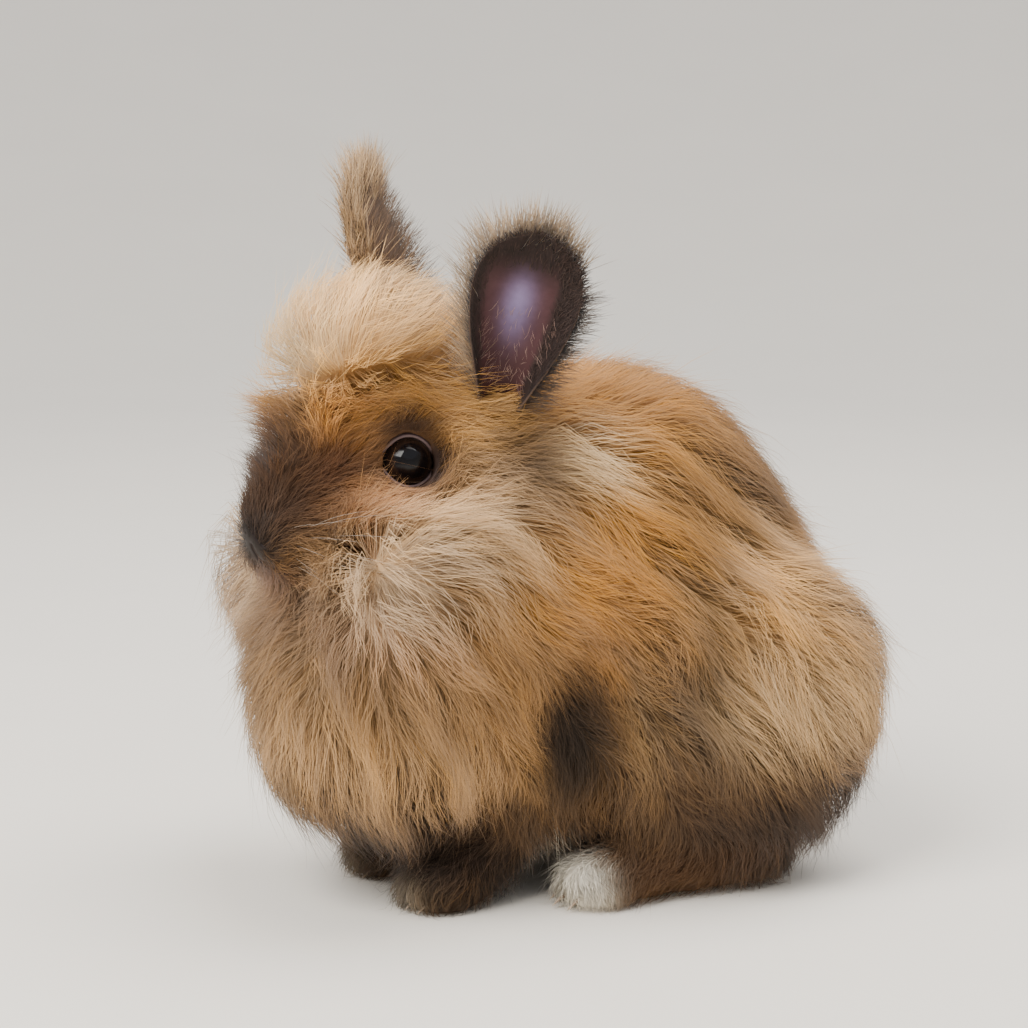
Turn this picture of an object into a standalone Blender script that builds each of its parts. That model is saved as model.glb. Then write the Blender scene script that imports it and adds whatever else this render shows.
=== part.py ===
"""A lionhead rabbit, sitting with its head turned a little to its left, life size.

The rabbit faces -Y, its left side is +X, and it sits on z = 0. Places are written in millimetres and turned into
metres by mm(). Two forms of rounded masses describe the animal: its flesh, and the outline of the coat that stands
on it. Every node has a core at a level half way between the two, within its own share of space, and flat tapered
locks that rise from the core to the outline along the lie of the coat.
"""

import math
from dataclasses import dataclass

import bmesh
import bpy
import numpy as np
from mathutils import Matrix, Vector

MM = 0.001
GAP = 0.35 * MM

# Driving dimensions of the animal, in millimetres
BACK_TOP = 161
RUMP_REACH = 88
HEAD_AT = (0, -61.5, 129)
HEAD_TURN = math.radians(10)
HEAD_TILT = math.radians(5)
EYE_RADIUS = 8.2
EAR_LENGTH = 53
EAR_WIDTH = 40
SHORT_COAT = 2.5

# How gently neighbouring masses run into each other, in millimetres
TRUNK_EASE = 8
HEAD_EASE = 2.5
COAT_EASE = 4
LIMB_EASE = 3

# The share of the coat's depth that a surface stands at
CORE = 0.5
OUTLINE = 1.0
HAUNCH_REACH = 1.3

# Locks: how far roots are sunk and how thick a lock is, in millimetres
ROOT_DEPTH = 4.0
LOCK_THICKNESS = 2.6
# How far the locks of one part reach over the next, in millimetres
OVERHANG = 7.0
SEED = 3


def mm(*values):
    """A vector of metres from millimetres."""
    return np.array(values, float) * MM


def clear_scene():
    for old in list(bpy.data.objects):
        bpy.data.objects.remove(old)


def material(name, colour, roughness):
    made = bpy.data.materials.new(name)
    made.use_nodes = True
    shader = made.node_tree.nodes["Principled BSDF"]
    shader.inputs["Base Color"].default_value = (*colour, 1.0)
    shader.inputs["Roughness"].default_value = roughness
    shader.inputs["Metallic"].default_value = 0.0
    return made


# The head's own axes


def head_axes():
    """Columns forward, left and up of the turned and tilted head."""
    turn = Matrix.Rotation(HEAD_TURN, 3, "Z")
    forward = turn @ Vector((0, -1, 0))
    left = Matrix.Rotation(HEAD_TILT, 3, forward) @ (turn @ Vector((1, 0, 0)))
    return np.array([forward, left, forward.cross(left)]).T


def on_head(forward, left, up):
    """A place given along the head's own axes, in metres in the model's frame."""
    return mm(*HEAD_AT) + head_axes() @ mm(forward, left, up)


# Rounded masses


@dataclass(frozen=True)
class Mass:
    """An ellipsoid: its middle, its half sizes and its axes as columns."""

    middle: np.ndarray
    half: np.ndarray
    axes: np.ndarray

    def distance(self, points):
        local = (points - self.middle) @ self.axes
        near = np.linalg.norm(local / self.half, axis=1)
        steep = np.linalg.norm(local / self.half**2, axis=1)
        return near * (near - 1) / np.maximum(steep, 1e-9)


def body_mass(middle, half, pitch=0.0):
    """A mass in the model's frame, its rear end raised by pitch degrees."""
    turn = np.array(Matrix.Rotation(math.radians(pitch), 3, "X"))
    return Mass(mm(*middle), mm(*half), turn)


def head_mass(middle, half, pitch=0.0):
    """A mass along the head's own axes, its front end lowered by pitch degrees."""
    axes = head_axes()
    turn = np.array(Matrix.Rotation(math.radians(pitch), 3, Vector(axes[:, 1])))
    return Mass(on_head(*middle), mm(*half), turn @ axes)


def masses(make, rows):
    return [make(*row) for row in rows.values()]


def mirrored(rows, axis):
    """The named rows, and the same rows on the other side of the middle plane."""
    made = {}
    for name, (middle, *rest) in rows.items():
        other = tuple(-v if i == axis else v for i, v in enumerate(middle))
        made[name + " left"] = (middle, *rest)
        made[name + " right"] = (other, *rest)
    return made


def run(start, end, start_radius, end_radius, steps):
    """A tapering run of round masses from start to end."""
    made = []
    for share in np.linspace(0, 1, steps):
        middle = [a + (b - a) * share for a, b in zip(start, end)]
        radius = start_radius + (end_radius - start_radius) * share
        made.append(body_mass(middle, (radius, radius, radius)))
    return made


TRUNK = {
    "ribcage": ((0, -12, 80), (42, 44, 46)),
    "back": ((0, 22, BACK_TOP - 64), (42, 44, 46)),
    "croup": ((0, RUMP_REACH - 42, 68), (44, 36, 48)),
    "belly": ((0, 8, 46), (44, 56, 34)),
    "breast": ((0, -38, 70), (36, 28, 42)),
    "withers": ((0, -30, 110), (27, 28, 32)),
}

SKULL = {
    "cranium": ((-12, 0, 8), (27, 22, 23)),
    "brow": ((6, 0, 9), (23, 17, 16)),
    "nose bridge": ((22, 0, -1), (20, 9.5, 12), 25),
    "muzzle": ((27, 0, -11), (15, 11, 10)),
    "nose": ((36, 0, -13), (7.5, 6, 6.5)),
    "chin": ((24, 0, -26), (10, 7, 5)),
    "jaw": ((4, 0, -18), (22, 13, 12)),
    **mirrored({
        "whisker pad": ((33, 6, -18), (8, 6.5, 7)),
        "cheek": ((-4, 13, -9), (19, 11, 17)),
        "eye socket": ((2, 13, 6), (12, 6, 11)),
    }, 1),
}

COAT = {
    "back": ((0, 18, BACK_TOP - 58), (56, 53, 57)),
    "croup": ((0, RUMP_REACH - 42, 74), (54, 43, 50)),
    "belly": ((0, 4, 56), (54, 56, 50)),
    "mane": ((0, -46, 104), (56, 42, 48)),
    "nape": ((0, -14, 124), (44, 34, 38)),
    "bib": ((0, -61, 64), (52, 41, 52)),
    "left ruff": ((36, -67, 95), (30, 28, 38)),
    "right ruff": ((-38, -70, 106), (30, 28, 39)),
    "crown": ((-4, -58, 155), (36, 37, 34)),
}

# Long fur that is part of the head, and where it is parted down to the short fur
FACE_COAT = {
    "blaze": ((25, 0, 8), (18, 12, 13)),
    "chin tuft": ((20, 0, -26), (14, 12, 9)),
}
BARE = mirrored({"eye": ((6, 45, 9), (16, 31, 13))}, 1)


def thigh(side):
    return {
        "thigh": ((side * 40, 46, 52), (22, 34, 40), -12),
        "knee": ((side * 40, 24, 34), (18, 26, 24)),
        "buttock": ((side * 34, 60, 56), (22, 24, 32)),
    }


def thigh_coat(side):
    return {
        "haunch": ((side * 44, 47, 63), (32, 43, 42)),
        "breeches": ((side * 45, 45, 32), (25, 33, 27)),
    }


def toes(across, forward, height, count, radius):
    """The toes of one foot, side by side, the middle ones longest."""
    made = []
    for toe in range(count):
        offset = (toe - (count - 1) / 2) * radius * 1.25
        middle = (across + offset, forward + abs(offset) * 0.35, height)
        made.append(body_mass(middle, (radius, radius * 1.7, radius)))
    return made


# The lie of the coat


@dataclass(frozen=True)
class Comb:
    """How the coat lies at one place: its way, and the length and width of its locks in millimetres."""

    place: tuple
    lie: tuple
    length: float
    width: float


def both_sides(comb):
    """The comb and its mirror image across the body's middle plane."""
    (x, y, z), (a, b, c) = comb.place, comb.lie
    return [comb, Comb((-x, y, z), (-a, b, c), comb.length, comb.width)]


COMBS = [
    Comb((2, -96, 150), (0, 0.1, 1), 22, 13),
    Comb((-4, -88, 170), (0, 0.2, 1), 26, 14),
    Comb((-4, -58, 189), (0, 0.7, 0.5), 28, 15),
    *both_sides(Comb((30, -62, 165), (0.4, 0.4, 0.8), 28, 15)),
    *both_sides(Comb((28, -36, 148), (0.3, 0.9, 0.1), 30, 16)),
    *both_sides(Comb((40, -88, 116), (0.7, 0.45, -0.5), 28, 15)),
    *both_sides(Comb((24, -96, 112), (0.85, 0.0, -0.5), 26, 13)),
    *both_sides(Comb((50, -86, 96), (0.3, 0.3, -0.9), 32, 16)),
    *both_sides(Comb((62, -60, 110), (0.15, 0.75, -0.65), 34, 17)),
    Comb((4, -96, 92), (0, 0, -1), 26, 14),
    Comb((0, -8, 160), (0, 1, -0.05), 36, 18),
    *both_sides(Comb((40, -15, 140), (0.15, 0.85, -0.5), 38, 18)),
    *both_sides(Comb((62, -45, 105), (0.1, 0.55, -0.8), 40, 18)),
    Comb((0, -102, 64), (0, 0, -1), 42, 18),
    *both_sides(Comb((44, -78, 60), (0.15, 0.25, -0.95), 42, 18)),
    Comb((0, -85, 28), (0, 0.3, -0.95), 32, 16),
    *both_sides(Comb((38, -50, 30), (0.1, 0.35, -0.95), 30, 16)),
    Comb((0, 20, 160), (0, 1, 0), 44, 22),
    Comb((0, 66, 134), (0, 0.65, -0.75), 42, 21),
    Comb((0, 88, 90), (0, 0.15, -1), 34, 18),
    *both_sides(Comb((50, 0, 110), (0.1, 0.8, -0.6), 44, 21)),
    *both_sides(Comb((54, 5, 70), (0.05, 0.6, -0.8), 42, 21)),
    *both_sides(Comb((50, -20, 40), (0, 0.3, -0.95), 36, 19)),
    *both_sides(Comb((48, 10, 20), (0, 0.5, -0.85), 24, 16)),
    *both_sides(Comb((44, 50, 120), (0.25, 0.7, -0.65), 40, 21)),
]

# Where the head's first locks grow: beside the muzzle and along the front of the forelock
FACE_LOCKS = (
    (-22, -92, 117), (22, -92, 117), (-25, -92, 106), (25, -92, 106), (-34, -86, 120), (34, -86, 120),
    (-37, -86, 106), (37, -86, 106), (-14, -94, 100), (14, -94, 100), (-9, -90, 156), (9, -90, 156),
    (0, -88, 166), (-14, -84, 168), (14, -82, 168),
)


def thigh_combs(side):
    rows = [
        ((45, 60, 104), (0.2, 0.75, -0.6), 36, 18),
        ((76, 45, 68), (0.05, 0.5, -0.85), 40, 20),
        ((62, 12, 60), (0.1, 0.35, -0.9), 34, 18),
        ((48, 90, 58), (0, 0.1, -1), 36, 18),
        ((58, 60, 25), (0, 0.15, -1), 26, 15),
    ]
    return [Comb((side * x, y, z), (side * a, b, c), *size) for (x, y, z), (a, b, c), *size in rows]


TAIL_COMBS = [Comb((0, 97, 62), (0, 0.3, 0.95), 20, 11)]


def combed(points, combs):
    """Unit lie, length and width of the coat at each point, from the combs round it."""
    reach = 26 * MM
    places = np.array([mm(*comb.place) for comb in combs])
    lies = np.array([Vector(comb.lie).normalized() for comb in combs])
    sizes = mm(*[(comb.length, comb.width) for comb in combs])
    apart = np.linalg.norm(points[:, None] - places[None], axis=2)
    weights = np.exp(-((apart / reach) ** 2)) + 1e-9 / (apart + MM)
    weights /= weights.sum(axis=1, keepdims=True)
    lie = weights @ lies
    size = weights @ sizes
    return lie / np.linalg.norm(lie, axis=1, keepdims=True), size[:, 0], size[:, 1]


# Fields: how far a point is outside a form


def soft_min(distances, ease):
    nearest = distances.min(axis=0)
    return nearest - ease * MM * np.log(np.exp((nearest - distances) / (ease * MM)).sum(axis=0))


def blend(points, parts, ease):
    return soft_min(np.array([part.distance(points) for part in parts]), ease)


@dataclass(frozen=True)
class Form:
    """The flesh and the coat's outline of one body or limb, as functions of points."""

    flesh: object
    coat: object
    low: np.ndarray
    high: np.ndarray

    def height(self, points, share):
        """How far the points are outside the level at this share of the coat's depth."""
        return (1 - share) * self.flesh(points) + share * self.coat(points)

    def depth(self, points):
        """The coat's depth at points on or in it."""
        return self.flesh(points) - self.coat(points)

    def slope(self, points, share):
        """The level's height at the points, and how it rises along each axis."""
        step = 0.1 * MM
        height = self.height(points, share)
        rises = [(self.height(points + step * way, share) - height) / step for way in np.eye(3)]
        return height, np.stack(rises, axis=1)

    def settle(self, points, share):
        """The points moved onto the level, and the level's normals there."""
        for _ in range(4):
            height, rise = self.slope(points, share)
            steep = np.maximum((rise**2).sum(axis=1, keepdims=True), 0.2)
            points = points - np.clip(height[:, None] * rise / steep, -4 * MM, 4 * MM)
        normal = rise / np.maximum(np.linalg.norm(rise, axis=1, keepdims=True), 1e-9)
        return points, normal


def body_form():
    neck = run((0, -36, 112), (1, -50, 124), 26, 24, 3)
    trunk = masses(body_mass, TRUNK) + neck
    skull = masses(head_mass, SKULL)
    outline = masses(body_mass, COAT) + masses(head_mass, FACE_COAT)
    parted = masses(head_mass, BARE)

    def flesh(points):
        both = [blend(points, trunk, TRUNK_EASE), blend(points, skull, HEAD_EASE)]
        return soft_min(np.array(both), HEAD_EASE)

    def coat(points):
        long_coat = blend(points, outline, COAT_EASE)
        open_face = blend(points, parted, COAT_EASE)
        combed = -soft_min(np.array([-long_coat, open_face]), 2)
        return soft_min(np.array([combed, flesh(points) - SHORT_COAT * MM]), 2)

    return Form(flesh, coat, mm(-80, -120, -12), mm(80, 105, 206))


def limb_form(flesh_masses, coat_masses, short_coat=1.5):
    def flesh(points):
        return blend(points, flesh_masses, LIMB_EASE)

    def coat(points):
        short = flesh(points) - short_coat * MM
        if not coat_masses:
            return short
        return soft_min(np.array([blend(points, coat_masses, COAT_EASE), short]), 2)

    every = [*flesh_masses, *coat_masses]
    low = np.min([m.middle - m.half.max() for m in every], axis=0) - mm(8, 8, 8)
    high = np.max([m.middle + m.half.max() for m in every], axis=0) + mm(8, 8, 8)
    return Form(flesh, coat, low, high)


# Surfaces


def surface_net(height, low, high, cell):
    """Points and faces of the surface at height zero, one point for each grid cell that it passes."""
    counts = np.ceil((high - low) / cell).astype(int) + 1
    lines = [low[i] + cell * np.arange(counts[i]) for i in range(3)]
    grid = np.stack(np.meshgrid(*lines, indexing="ij"), axis=-1)
    value = height(grid.reshape(-1, 3)).reshape(counts)
    cells = counts - 1
    total, hits, quads = np.zeros((*cells, 3)), np.zeros(cells), []
    for axis in range(3):
        before = np.take(value, np.arange(cells[axis]), axis)
        after = np.take(value, np.arange(1, counts[axis]), axis)
        edges = np.argwhere((before < 0) != (after < 0))
        first, second = before[tuple(edges.T)], after[tuple(edges.T)]
        place = edges.astype(float)
        place[:, axis] += first / (first - second)
        corners = []
        for across, along in ((0, 0), (-1, 0), (-1, -1), (0, -1)):
            around = edges.copy()
            around[:, (axis + 1) % 3] += across
            around[:, (axis + 2) % 3] += along
            np.add.at(total, tuple(around.T), place)
            np.add.at(hits, tuple(around.T), 1)
            corners.append(np.ravel_multi_index(tuple(around.T), cells))
        quad = np.stack(corners, axis=1)
        inward = second < first
        quad[inward] = quad[inward][:, ::-1]
        quads.append(quad)
    used = np.flatnonzero(hits)
    number = np.full(hits.size, -1)
    number[used] = np.arange(len(used))
    points = low + cell * total.reshape(-1, 3)[used] / hits.reshape(-1, 1)[used]
    return points, number[np.concatenate(quads)]


def object_from(name, points, faces):
    mesh = bpy.data.meshes.new(name)
    mesh.from_pydata([tuple(p) for p in points], [], [tuple(f) for f in faces])
    mesh.update()
    made = bpy.data.objects.new(name, mesh)
    bpy.context.scene.collection.objects.link(made)
    return made


def apply_modifiers(obj):
    """Replaces the object's mesh by the one its modifiers make."""
    bpy.context.view_layer.update()
    graph = bpy.context.evaluated_depsgraph_get()
    made = bpy.data.meshes.new_from_object(obj.evaluated_get(graph))
    obj.modifiers.clear()
    obj.data = made


def surface(name, form, share, cell, triangles):
    """The form's surface at a share of the coat's depth, as one closed mesh, and points spread over it."""
    points, faces = surface_net(lambda p: form.height(p, share), form.low, form.high, cell * MM)
    obj = object_from(name, points, faces)
    fewer = obj.modifiers.new("fewer", "DECIMATE")
    fewer.ratio = min(1.0, triangles / (2 * len(faces)))
    apply_modifiers(obj)
    return obj, points


def object_from_bmesh(name, shape):
    mesh = bpy.data.meshes.new(name)
    shape.to_mesh(mesh)
    shape.free()
    made = bpy.data.objects.new(name, mesh)
    bpy.context.scene.collection.objects.link(made)
    return made


def ellipsoid(middle, half, axes, detail=3):
    shape = bmesh.new()
    bmesh.ops.create_icosphere(shape, subdivisions=detail, radius=1.0)
    frame = Matrix((axes * half).tolist()).to_4x4()
    bmesh.ops.transform(shape, matrix=Matrix.Translation(middle) @ frame, verts=shape.verts)
    return object_from_bmesh("ellipsoid", shape)


def floor_block():
    """A block under z = 0, which presses the soles flat."""
    shape = bmesh.new()
    bmesh.ops.create_cube(shape, size=0.6)
    bmesh.ops.translate(shape, verts=shape.verts, vec=(0, 0, -0.3))
    return object_from_bmesh("floor", shape)


def combine(obj, other, operation):
    """Applies one Boolean and removes the other object, or a collection with its objects.

    The MANIFOLD solver is used because EXACT leaves open edges where many locks cross.
    """
    cut = obj.modifiers.new("cut", "BOOLEAN")
    cut.operation = operation
    cut.solver = "MANIFOLD"
    several = isinstance(other, bpy.types.Collection)
    if several:
        cut.operand_type = "COLLECTION"
        cut.collection = other
    else:
        cut.object = other
    apply_modifiers(obj)
    for piece in list(other.objects) if several else [other]:
        bpy.data.objects.remove(piece)
    if several:
        bpy.data.collections.remove(other)
    return obj


def keep_largest(obj):
    """Leaves only the largest closed surface of the object."""
    shape = bmesh.new()
    shape.from_mesh(obj.data)
    unseen, parts = set(shape.verts), []
    while unseen:
        part, queue = set(), [unseen.pop()]
        while queue:
            vert = queue.pop()
            part.add(vert)
            for edge in vert.link_edges:
                other = edge.other_vert(vert)
                if other in unseen:
                    unseen.remove(other)
                    queue.append(other)
        parts.append(part)
    parts.sort(key=len)
    bmesh.ops.delete(shape, geom=[v for part in parts[:-1] for v in part], context="VERTS")
    shape.to_mesh(obj.data)
    shape.free()
    return obj


def swollen(obj, by=1.6 * GAP):
    """A copy of the object with its surface moved out."""
    made = obj.copy()
    made.data = obj.data.copy()
    bpy.context.scene.collection.objects.link(made)
    for vert, normal in zip(made.data.vertices, [v.normal.copy() for v in made.data.vertices]):
        vert.co += normal * by
    return made


def swollen_hull(obj):
    """The hull of the object, moved out by the gap."""
    made = swollen(obj)
    shape = bmesh.new()
    for vert in made.data.vertices:
        shape.verts.new(vert.co)
    bpy.data.objects.remove(made)
    bmesh.ops.convex_hull(shape, input=shape.verts)
    loose = [v for v in shape.verts if not v.link_faces]
    bmesh.ops.delete(shape, geom=loose, context="VERTS")
    bmesh.ops.recalc_face_normals(shape, faces=shape.faces)
    return object_from_bmesh("hull", shape)


# Locks


@dataclass(frozen=True)
class Coat:
    """The locks of one node: the form they stand on, the combs they follow, the space they have, how close they
    stand, the share of the coat's depth that their tips reach, and places where locks grow before any others."""

    form: object
    combs: list
    clear: object
    spread: float = 0.75
    reach: float = OUTLINE
    first: tuple = ()

    def usable(self, spots, random):
        """Up to 1500 of the spots that have long hair and room for a root."""
        named = [spots[np.linalg.norm(spots - mm(*place), axis=1).argmin()] for place in self.first]
        spots = np.concatenate([np.array(named).reshape(-1, 3), random.permutation(spots)[:5000]])
        _, normal = self.form.settle(spots, CORE)
        furry = self.form.depth(spots) > 2.5 * SHORT_COAT * MM
        return spots[furry & (self.clear(spots) > MM) & (normal[:, 2] > -0.6)][:1500]

    def spaced(self, places, length, width):
        """Which locks to keep, so that roots lie closer across the lie than along it."""
        roots = places[:, 0]
        lie = places[:, 1] - roots
        lie /= np.linalg.norm(lie, axis=1, keepdims=True)
        kept = []
        for i, root in enumerate(roots):
            apart = root - roots[kept]
            along = (apart * lie[kept]).sum(axis=1)
            across = np.sqrt(np.maximum((apart**2).sum(axis=1) - along**2, 0))
            near = np.hypot(along / (0.52 * length[kept]), across / (0.95 * width[kept]))
            if not (near < self.spread).any():
                kept.append(i)
        return kept

    def paths(self, roots, length, swing, steps=6):
        """Centre lines that rise from the core to the outline along the lie, with the normals along them."""
        here, normal = self.form.settle(roots, CORE)
        places, normals = [here], [normal]
        for step in range(1, steps + 1):
            share = CORE + (self.reach - CORE) * (step / steps) ** 0.65
            lie, _, _ = combed(here, self.combs)
            aside = np.cross(normal, lie)
            way = lie * np.cos(swing)[:, None] + aside * np.sin(swing)[:, None]
            way -= normal * (way * normal).sum(axis=1, keepdims=True)
            way /= np.maximum(np.linalg.norm(way, axis=1, keepdims=True), 1e-9)
            here, normal = self.form.settle(here + way * (length / steps)[:, None], share)
            places.append(here)
            normals.append(normal)
        return np.stack(places, axis=1), np.stack(normals, axis=1)

    def locks(self, spots, random):
        """Points and faces of each lock, shortened where it would leave the node's space."""
        roots = self.usable(spots, random)
        _, length, width = combed(roots, self.combs)
        length = length * random.uniform(0.85, 1.15, len(roots))
        width = width * random.uniform(0.9, 1.15, len(roots))
        swing = random.normal(0, 0.2, len(roots))
        places, normals = self.paths(roots, length, swing)
        steps = places.shape[1] - 1
        clear = np.cumprod(self.free(places, normals, width), axis=1).sum(axis=1) - 1
        kept = np.flatnonzero(clear >= 0.5 * steps)
        kept = kept[self.spaced(places[kept], length[kept], width[kept])]
        length = length * clear / steps
        places, normals = self.paths(roots[kept], length[kept], swing[kept])
        return [lock(*parts) for parts in zip(places, normals, width[kept])]

    def free(self, places, normals, width):
        """Whether the middle and both sides of a lock are clear at each step along it."""
        side = np.cross(normals, np.gradient(places, axis=1))
        side *= width[:, None, None] / 2 / np.maximum(np.linalg.norm(side, axis=2, keepdims=True), 1e-9)
        taper = np.array([0.7, 0.9, 1.0, 0.9, 0.7, 0.4, 0.0])[None, :, None]
        room = [self.clear((places + side * taper * way).reshape(-1, 3)) for way in (-1, 0, 1)]
        return np.min(room, axis=0).reshape(places.shape[:2]) > 1.2 * MM


def lock(places, normals, width, thickness=LOCK_THICKNESS):
    """A flat tapered lock along its centre line: a low ridge in section, its root sunk, its tip a point."""
    last = len(places) - 1
    stations = [(0.0, 0.7, 1.0), (0.34, 1.0, 0.9), (0.7, 0.72, 0.7)]
    points, faces = [], []
    for share, broad, thick in stations:
        place = along(places, share * last)
        normal = along(normals, share * last)
        normal /= np.linalg.norm(normal)
        ahead = along(places, min(share * last + 1, last)) - along(places, max(share * last - 1, 0))
        side = np.cross(normal, ahead)
        side /= np.linalg.norm(side)
        if share == 0:
            place = place - normal * ROOT_DEPTH * MM
        half_width = side * width * broad / 2
        points += [place + half_width, place + normal * thickness * MM * thick, place - half_width]
    points.append(places[last])
    for ring in (0, 3):
        for j in range(3):
            a, b = ring + j, ring + (j + 1) % 3
            faces += [(a, b, b + 3), (a, b + 3, a + 3)]
    faces += [(6 + j, 6 + (j + 1) % 3, 9) for j in range(3)]
    faces.append((2, 1, 0))
    return points, faces


def along(rows, position):
    """The row at a position between whole numbers."""
    low = min(int(position), len(rows) - 2)
    return rows[low] + (rows[low + 1] - rows[low]) * (position - low)


def fuse_locks(core, locks):
    """Joins the locks to the core as one body."""
    if not locks:
        return core
    pieces = bpy.data.collections.new("locks")
    for points, faces in locks:
        piece = object_from("lock", points, faces)
        pieces.objects.link(piece)
    return combine(core, pieces, "UNION")


# Where the body parts: cones that open backwards, so that the coat of each part lies over the next


@dataclass(frozen=True)
class Parting:
    """A long cone: behind is its inside, and ahead is the rest."""

    apex: tuple
    axis: tuple
    half_angle: float

    def ahead(self, points):
        """How far the points are ahead of the cone's surface, negative behind it."""
        angle = math.radians(self.half_angle)
        axis = np.array(Vector(self.axis).normalized())
        apart = points - mm(*self.apex)
        behind = apart @ axis
        beside = np.linalg.norm(apart - behind[:, None] * axis, axis=1)
        return beside * math.cos(angle) - behind * math.sin(angle)

    def solid(self, grow):
        length, sides = 0.5, 64
        angle = math.radians(self.half_angle)
        axis = Vector(self.axis).normalized()
        shape = bmesh.new()
        bmesh.ops.create_cone(
            shape, cap_ends=True, segments=sides, radius1=length * math.tan(angle), radius2=0, depth=length
        )
        bmesh.ops.translate(shape, verts=shape.verts, vec=(0, 0, -length / 2))
        turn = axis.to_track_quat("-Z", "Y").to_matrix().to_4x4()
        place = Matrix.Translation(Vector(mm(*self.apex)) - axis * grow / math.sin(angle))
        bmesh.ops.transform(shape, matrix=place @ turn, verts=shape.verts)
        return object_from_bmesh("parting", shape)

    def keep_ahead(self, obj):
        return combine(obj, self.solid(GAP / 2), "DIFFERENCE")

    def keep_behind(self, obj):
        return combine(obj, self.solid(-GAP / 2), "INTERSECT")


HEAD_PARTING = Parting((0, -50, 127), (0, 0.60, -0.80), 86)
MANE_PARTING = Parting((0, -38, 88), (0, 0.95, -0.31), 78)


# Ears


@dataclass(frozen=True)
class Ear:
    """An upright cupped ear: its root, the way that it points and the way that its cup opens."""

    name: str
    root: tuple
    points: tuple
    opens: tuple

    def axes(self):
        """The unit ways up the ear, out of its opening and across it."""
        up = Vector(self.points).normalized()
        opens = Vector(self.opens)
        opens = (opens - up * opens.dot(up)).normalized()
        return up, opens, up.cross(opens)

    def place(self, share, across):
        """A place on the ear's middle surface: share from root to tip, across from -1 to 1."""
        up, opens, side = self.axes()
        curl = 2.6 * (1 - share) ** 1.5 + 1.2
        radius = EAR_WIDTH * MM * ear_width(share) / curl
        angle = across * curl / 2
        bow = math.sin(share * math.pi) * 2.5 * MM
        ridge = Vector(mm(*self.root)) + up * EAR_LENGTH * MM * share - opens * bow
        return ridge + opens * radius * (1 - math.cos(angle)) + side * radius * math.sin(angle)

    def sheet(self, along_steps=9, across_steps=6):
        """The ear's middle surface, as points and faces."""
        points, faces = [], []
        for i in range(along_steps + 1):
            for j in range(across_steps + 1):
                points.append(self.place(i / along_steps, 2 * j / across_steps - 1))
        row = across_steps + 1
        for i in range(along_steps):
            for j in range(across_steps):
                first = i * row + j
                faces.append((first, first + 1, first + row + 1, first + row))
        return points, faces

    def room(self):
        """The space round the ear that the head's locks keep out of."""
        up, opens, side = self.axes()
        middle = Vector(mm(*self.root)) + up * EAR_LENGTH * MM / 2 + opens * 4 * MM
        half = mm(EAR_LENGTH / 2 + 2, 13, EAR_WIDTH / 2)
        return Mass(np.array(middle), half, np.array([up, opens, side]).T)

    def fringe(self):
        """Locks that fan out along both rims and off the tip."""
        up, _, side = self.axes()
        made = []
        for edge in (-1, 1):
            for share in np.linspace(0.45, 0.9, 3):
                root = self.place(share, edge * 0.94)
                lean = up * (0.9 + share) + side * edge * (1.2 - share)
                made.append(self.fringe_lock(root, lean.normalized(), 9))
        made.append(self.fringe_lock(self.place(0.97, 0), up, 9))
        return made

    def fringe_lock(self, root, way, length):
        up, opens, _ = self.axes()
        normal = (opens - way * opens.dot(way)).normalized()
        bend = [way * (length * MM * step / 3) - opens * (0.4 * MM * step**2) for step in range(4)]
        root = root - normal * 0.6 * MM
        start = root - way * 2 * MM + normal * ROOT_DEPTH * MM
        places = np.array([start, *[root + part for part in bend[1:]]])
        return lock(places, np.array([normal] * 4), 8 * MM, 1.2)


def ear_width(share):
    """Width of the ear along its length, as a share of the widest."""
    rise = 0.62 + 0.38 * math.sin(min(share / 0.6, 1.0) * math.pi / 2)
    fall = max(0.0, (share - 0.6) / 0.4)
    return rise * math.sqrt(max(1 - fall**2.4, 0.02))


EARS = [
    Ear("ear_left", (20, -28, 153), (0.42, 0.05, 0.90), (0.85, -0.52, -0.1)),
    Ear("ear_right", (-20, -40, 163), (-0.25, -0.14, 0.96), (-0.85, -0.50, 0.0)),
]


def build_ear(ear):
    obj = object_from(ear.name, *ear.sheet())
    thick = obj.modifiers.new("thick", "SOLIDIFY")
    thick.thickness = 1.8 * MM
    thick.offset = 0
    apply_modifiers(obj)
    root = ellipsoid(mm(*ear.root), mm(9, 9, 8), np.eye(3), 2)
    return keep_largest(combine(obj, root, "UNION"))


# Eyes and face


@dataclass(frozen=True)
class Eye:
    """An eyeball and the lids round it, on one side of the head."""

    name: str
    side: int

    @property
    def middle(self):
        return on_head(1.5, self.side * 15.5, 6)

    @property
    def axes(self):
        """Columns: the way the eye looks, the way its opening runs, and the way across it."""
        axes = head_axes()
        look = Vector(axes @ (0.26, self.side * 0.96, 0.10)).normalized()
        across = look.cross(Vector(axes @ (1.0, 0.0, 0.15))).normalized()
        return np.array([look, across.cross(look), across]).T

    def ball(self, more=0.0, detail=3):
        size = EYE_RADIUS + more
        return ellipsoid(self.middle, mm(size, size, size), self.axes, detail)

    def opening(self):
        """The almond between the lids, from the eyeball outwards."""
        reach = 14 * MM
        return ellipsoid(self.middle + self.axes[:, 0] * reach, mm(14, 7.3, 7.0), self.axes, 2)


EYES = [Eye("eye_left", 1), Eye("eye_right", -1)]


def slit(head, middle, half, turn_axis, degrees):
    """Cuts a narrow rounded slit, turned about one of the head's axes."""
    axes = head_axes()
    turn = np.array(Matrix.Rotation(math.radians(degrees), 3, Vector(axes[:, turn_axis])))
    combine(head, ellipsoid(on_head(*middle), mm(*half), turn @ axes, 2), "DIFFERENCE")


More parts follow.
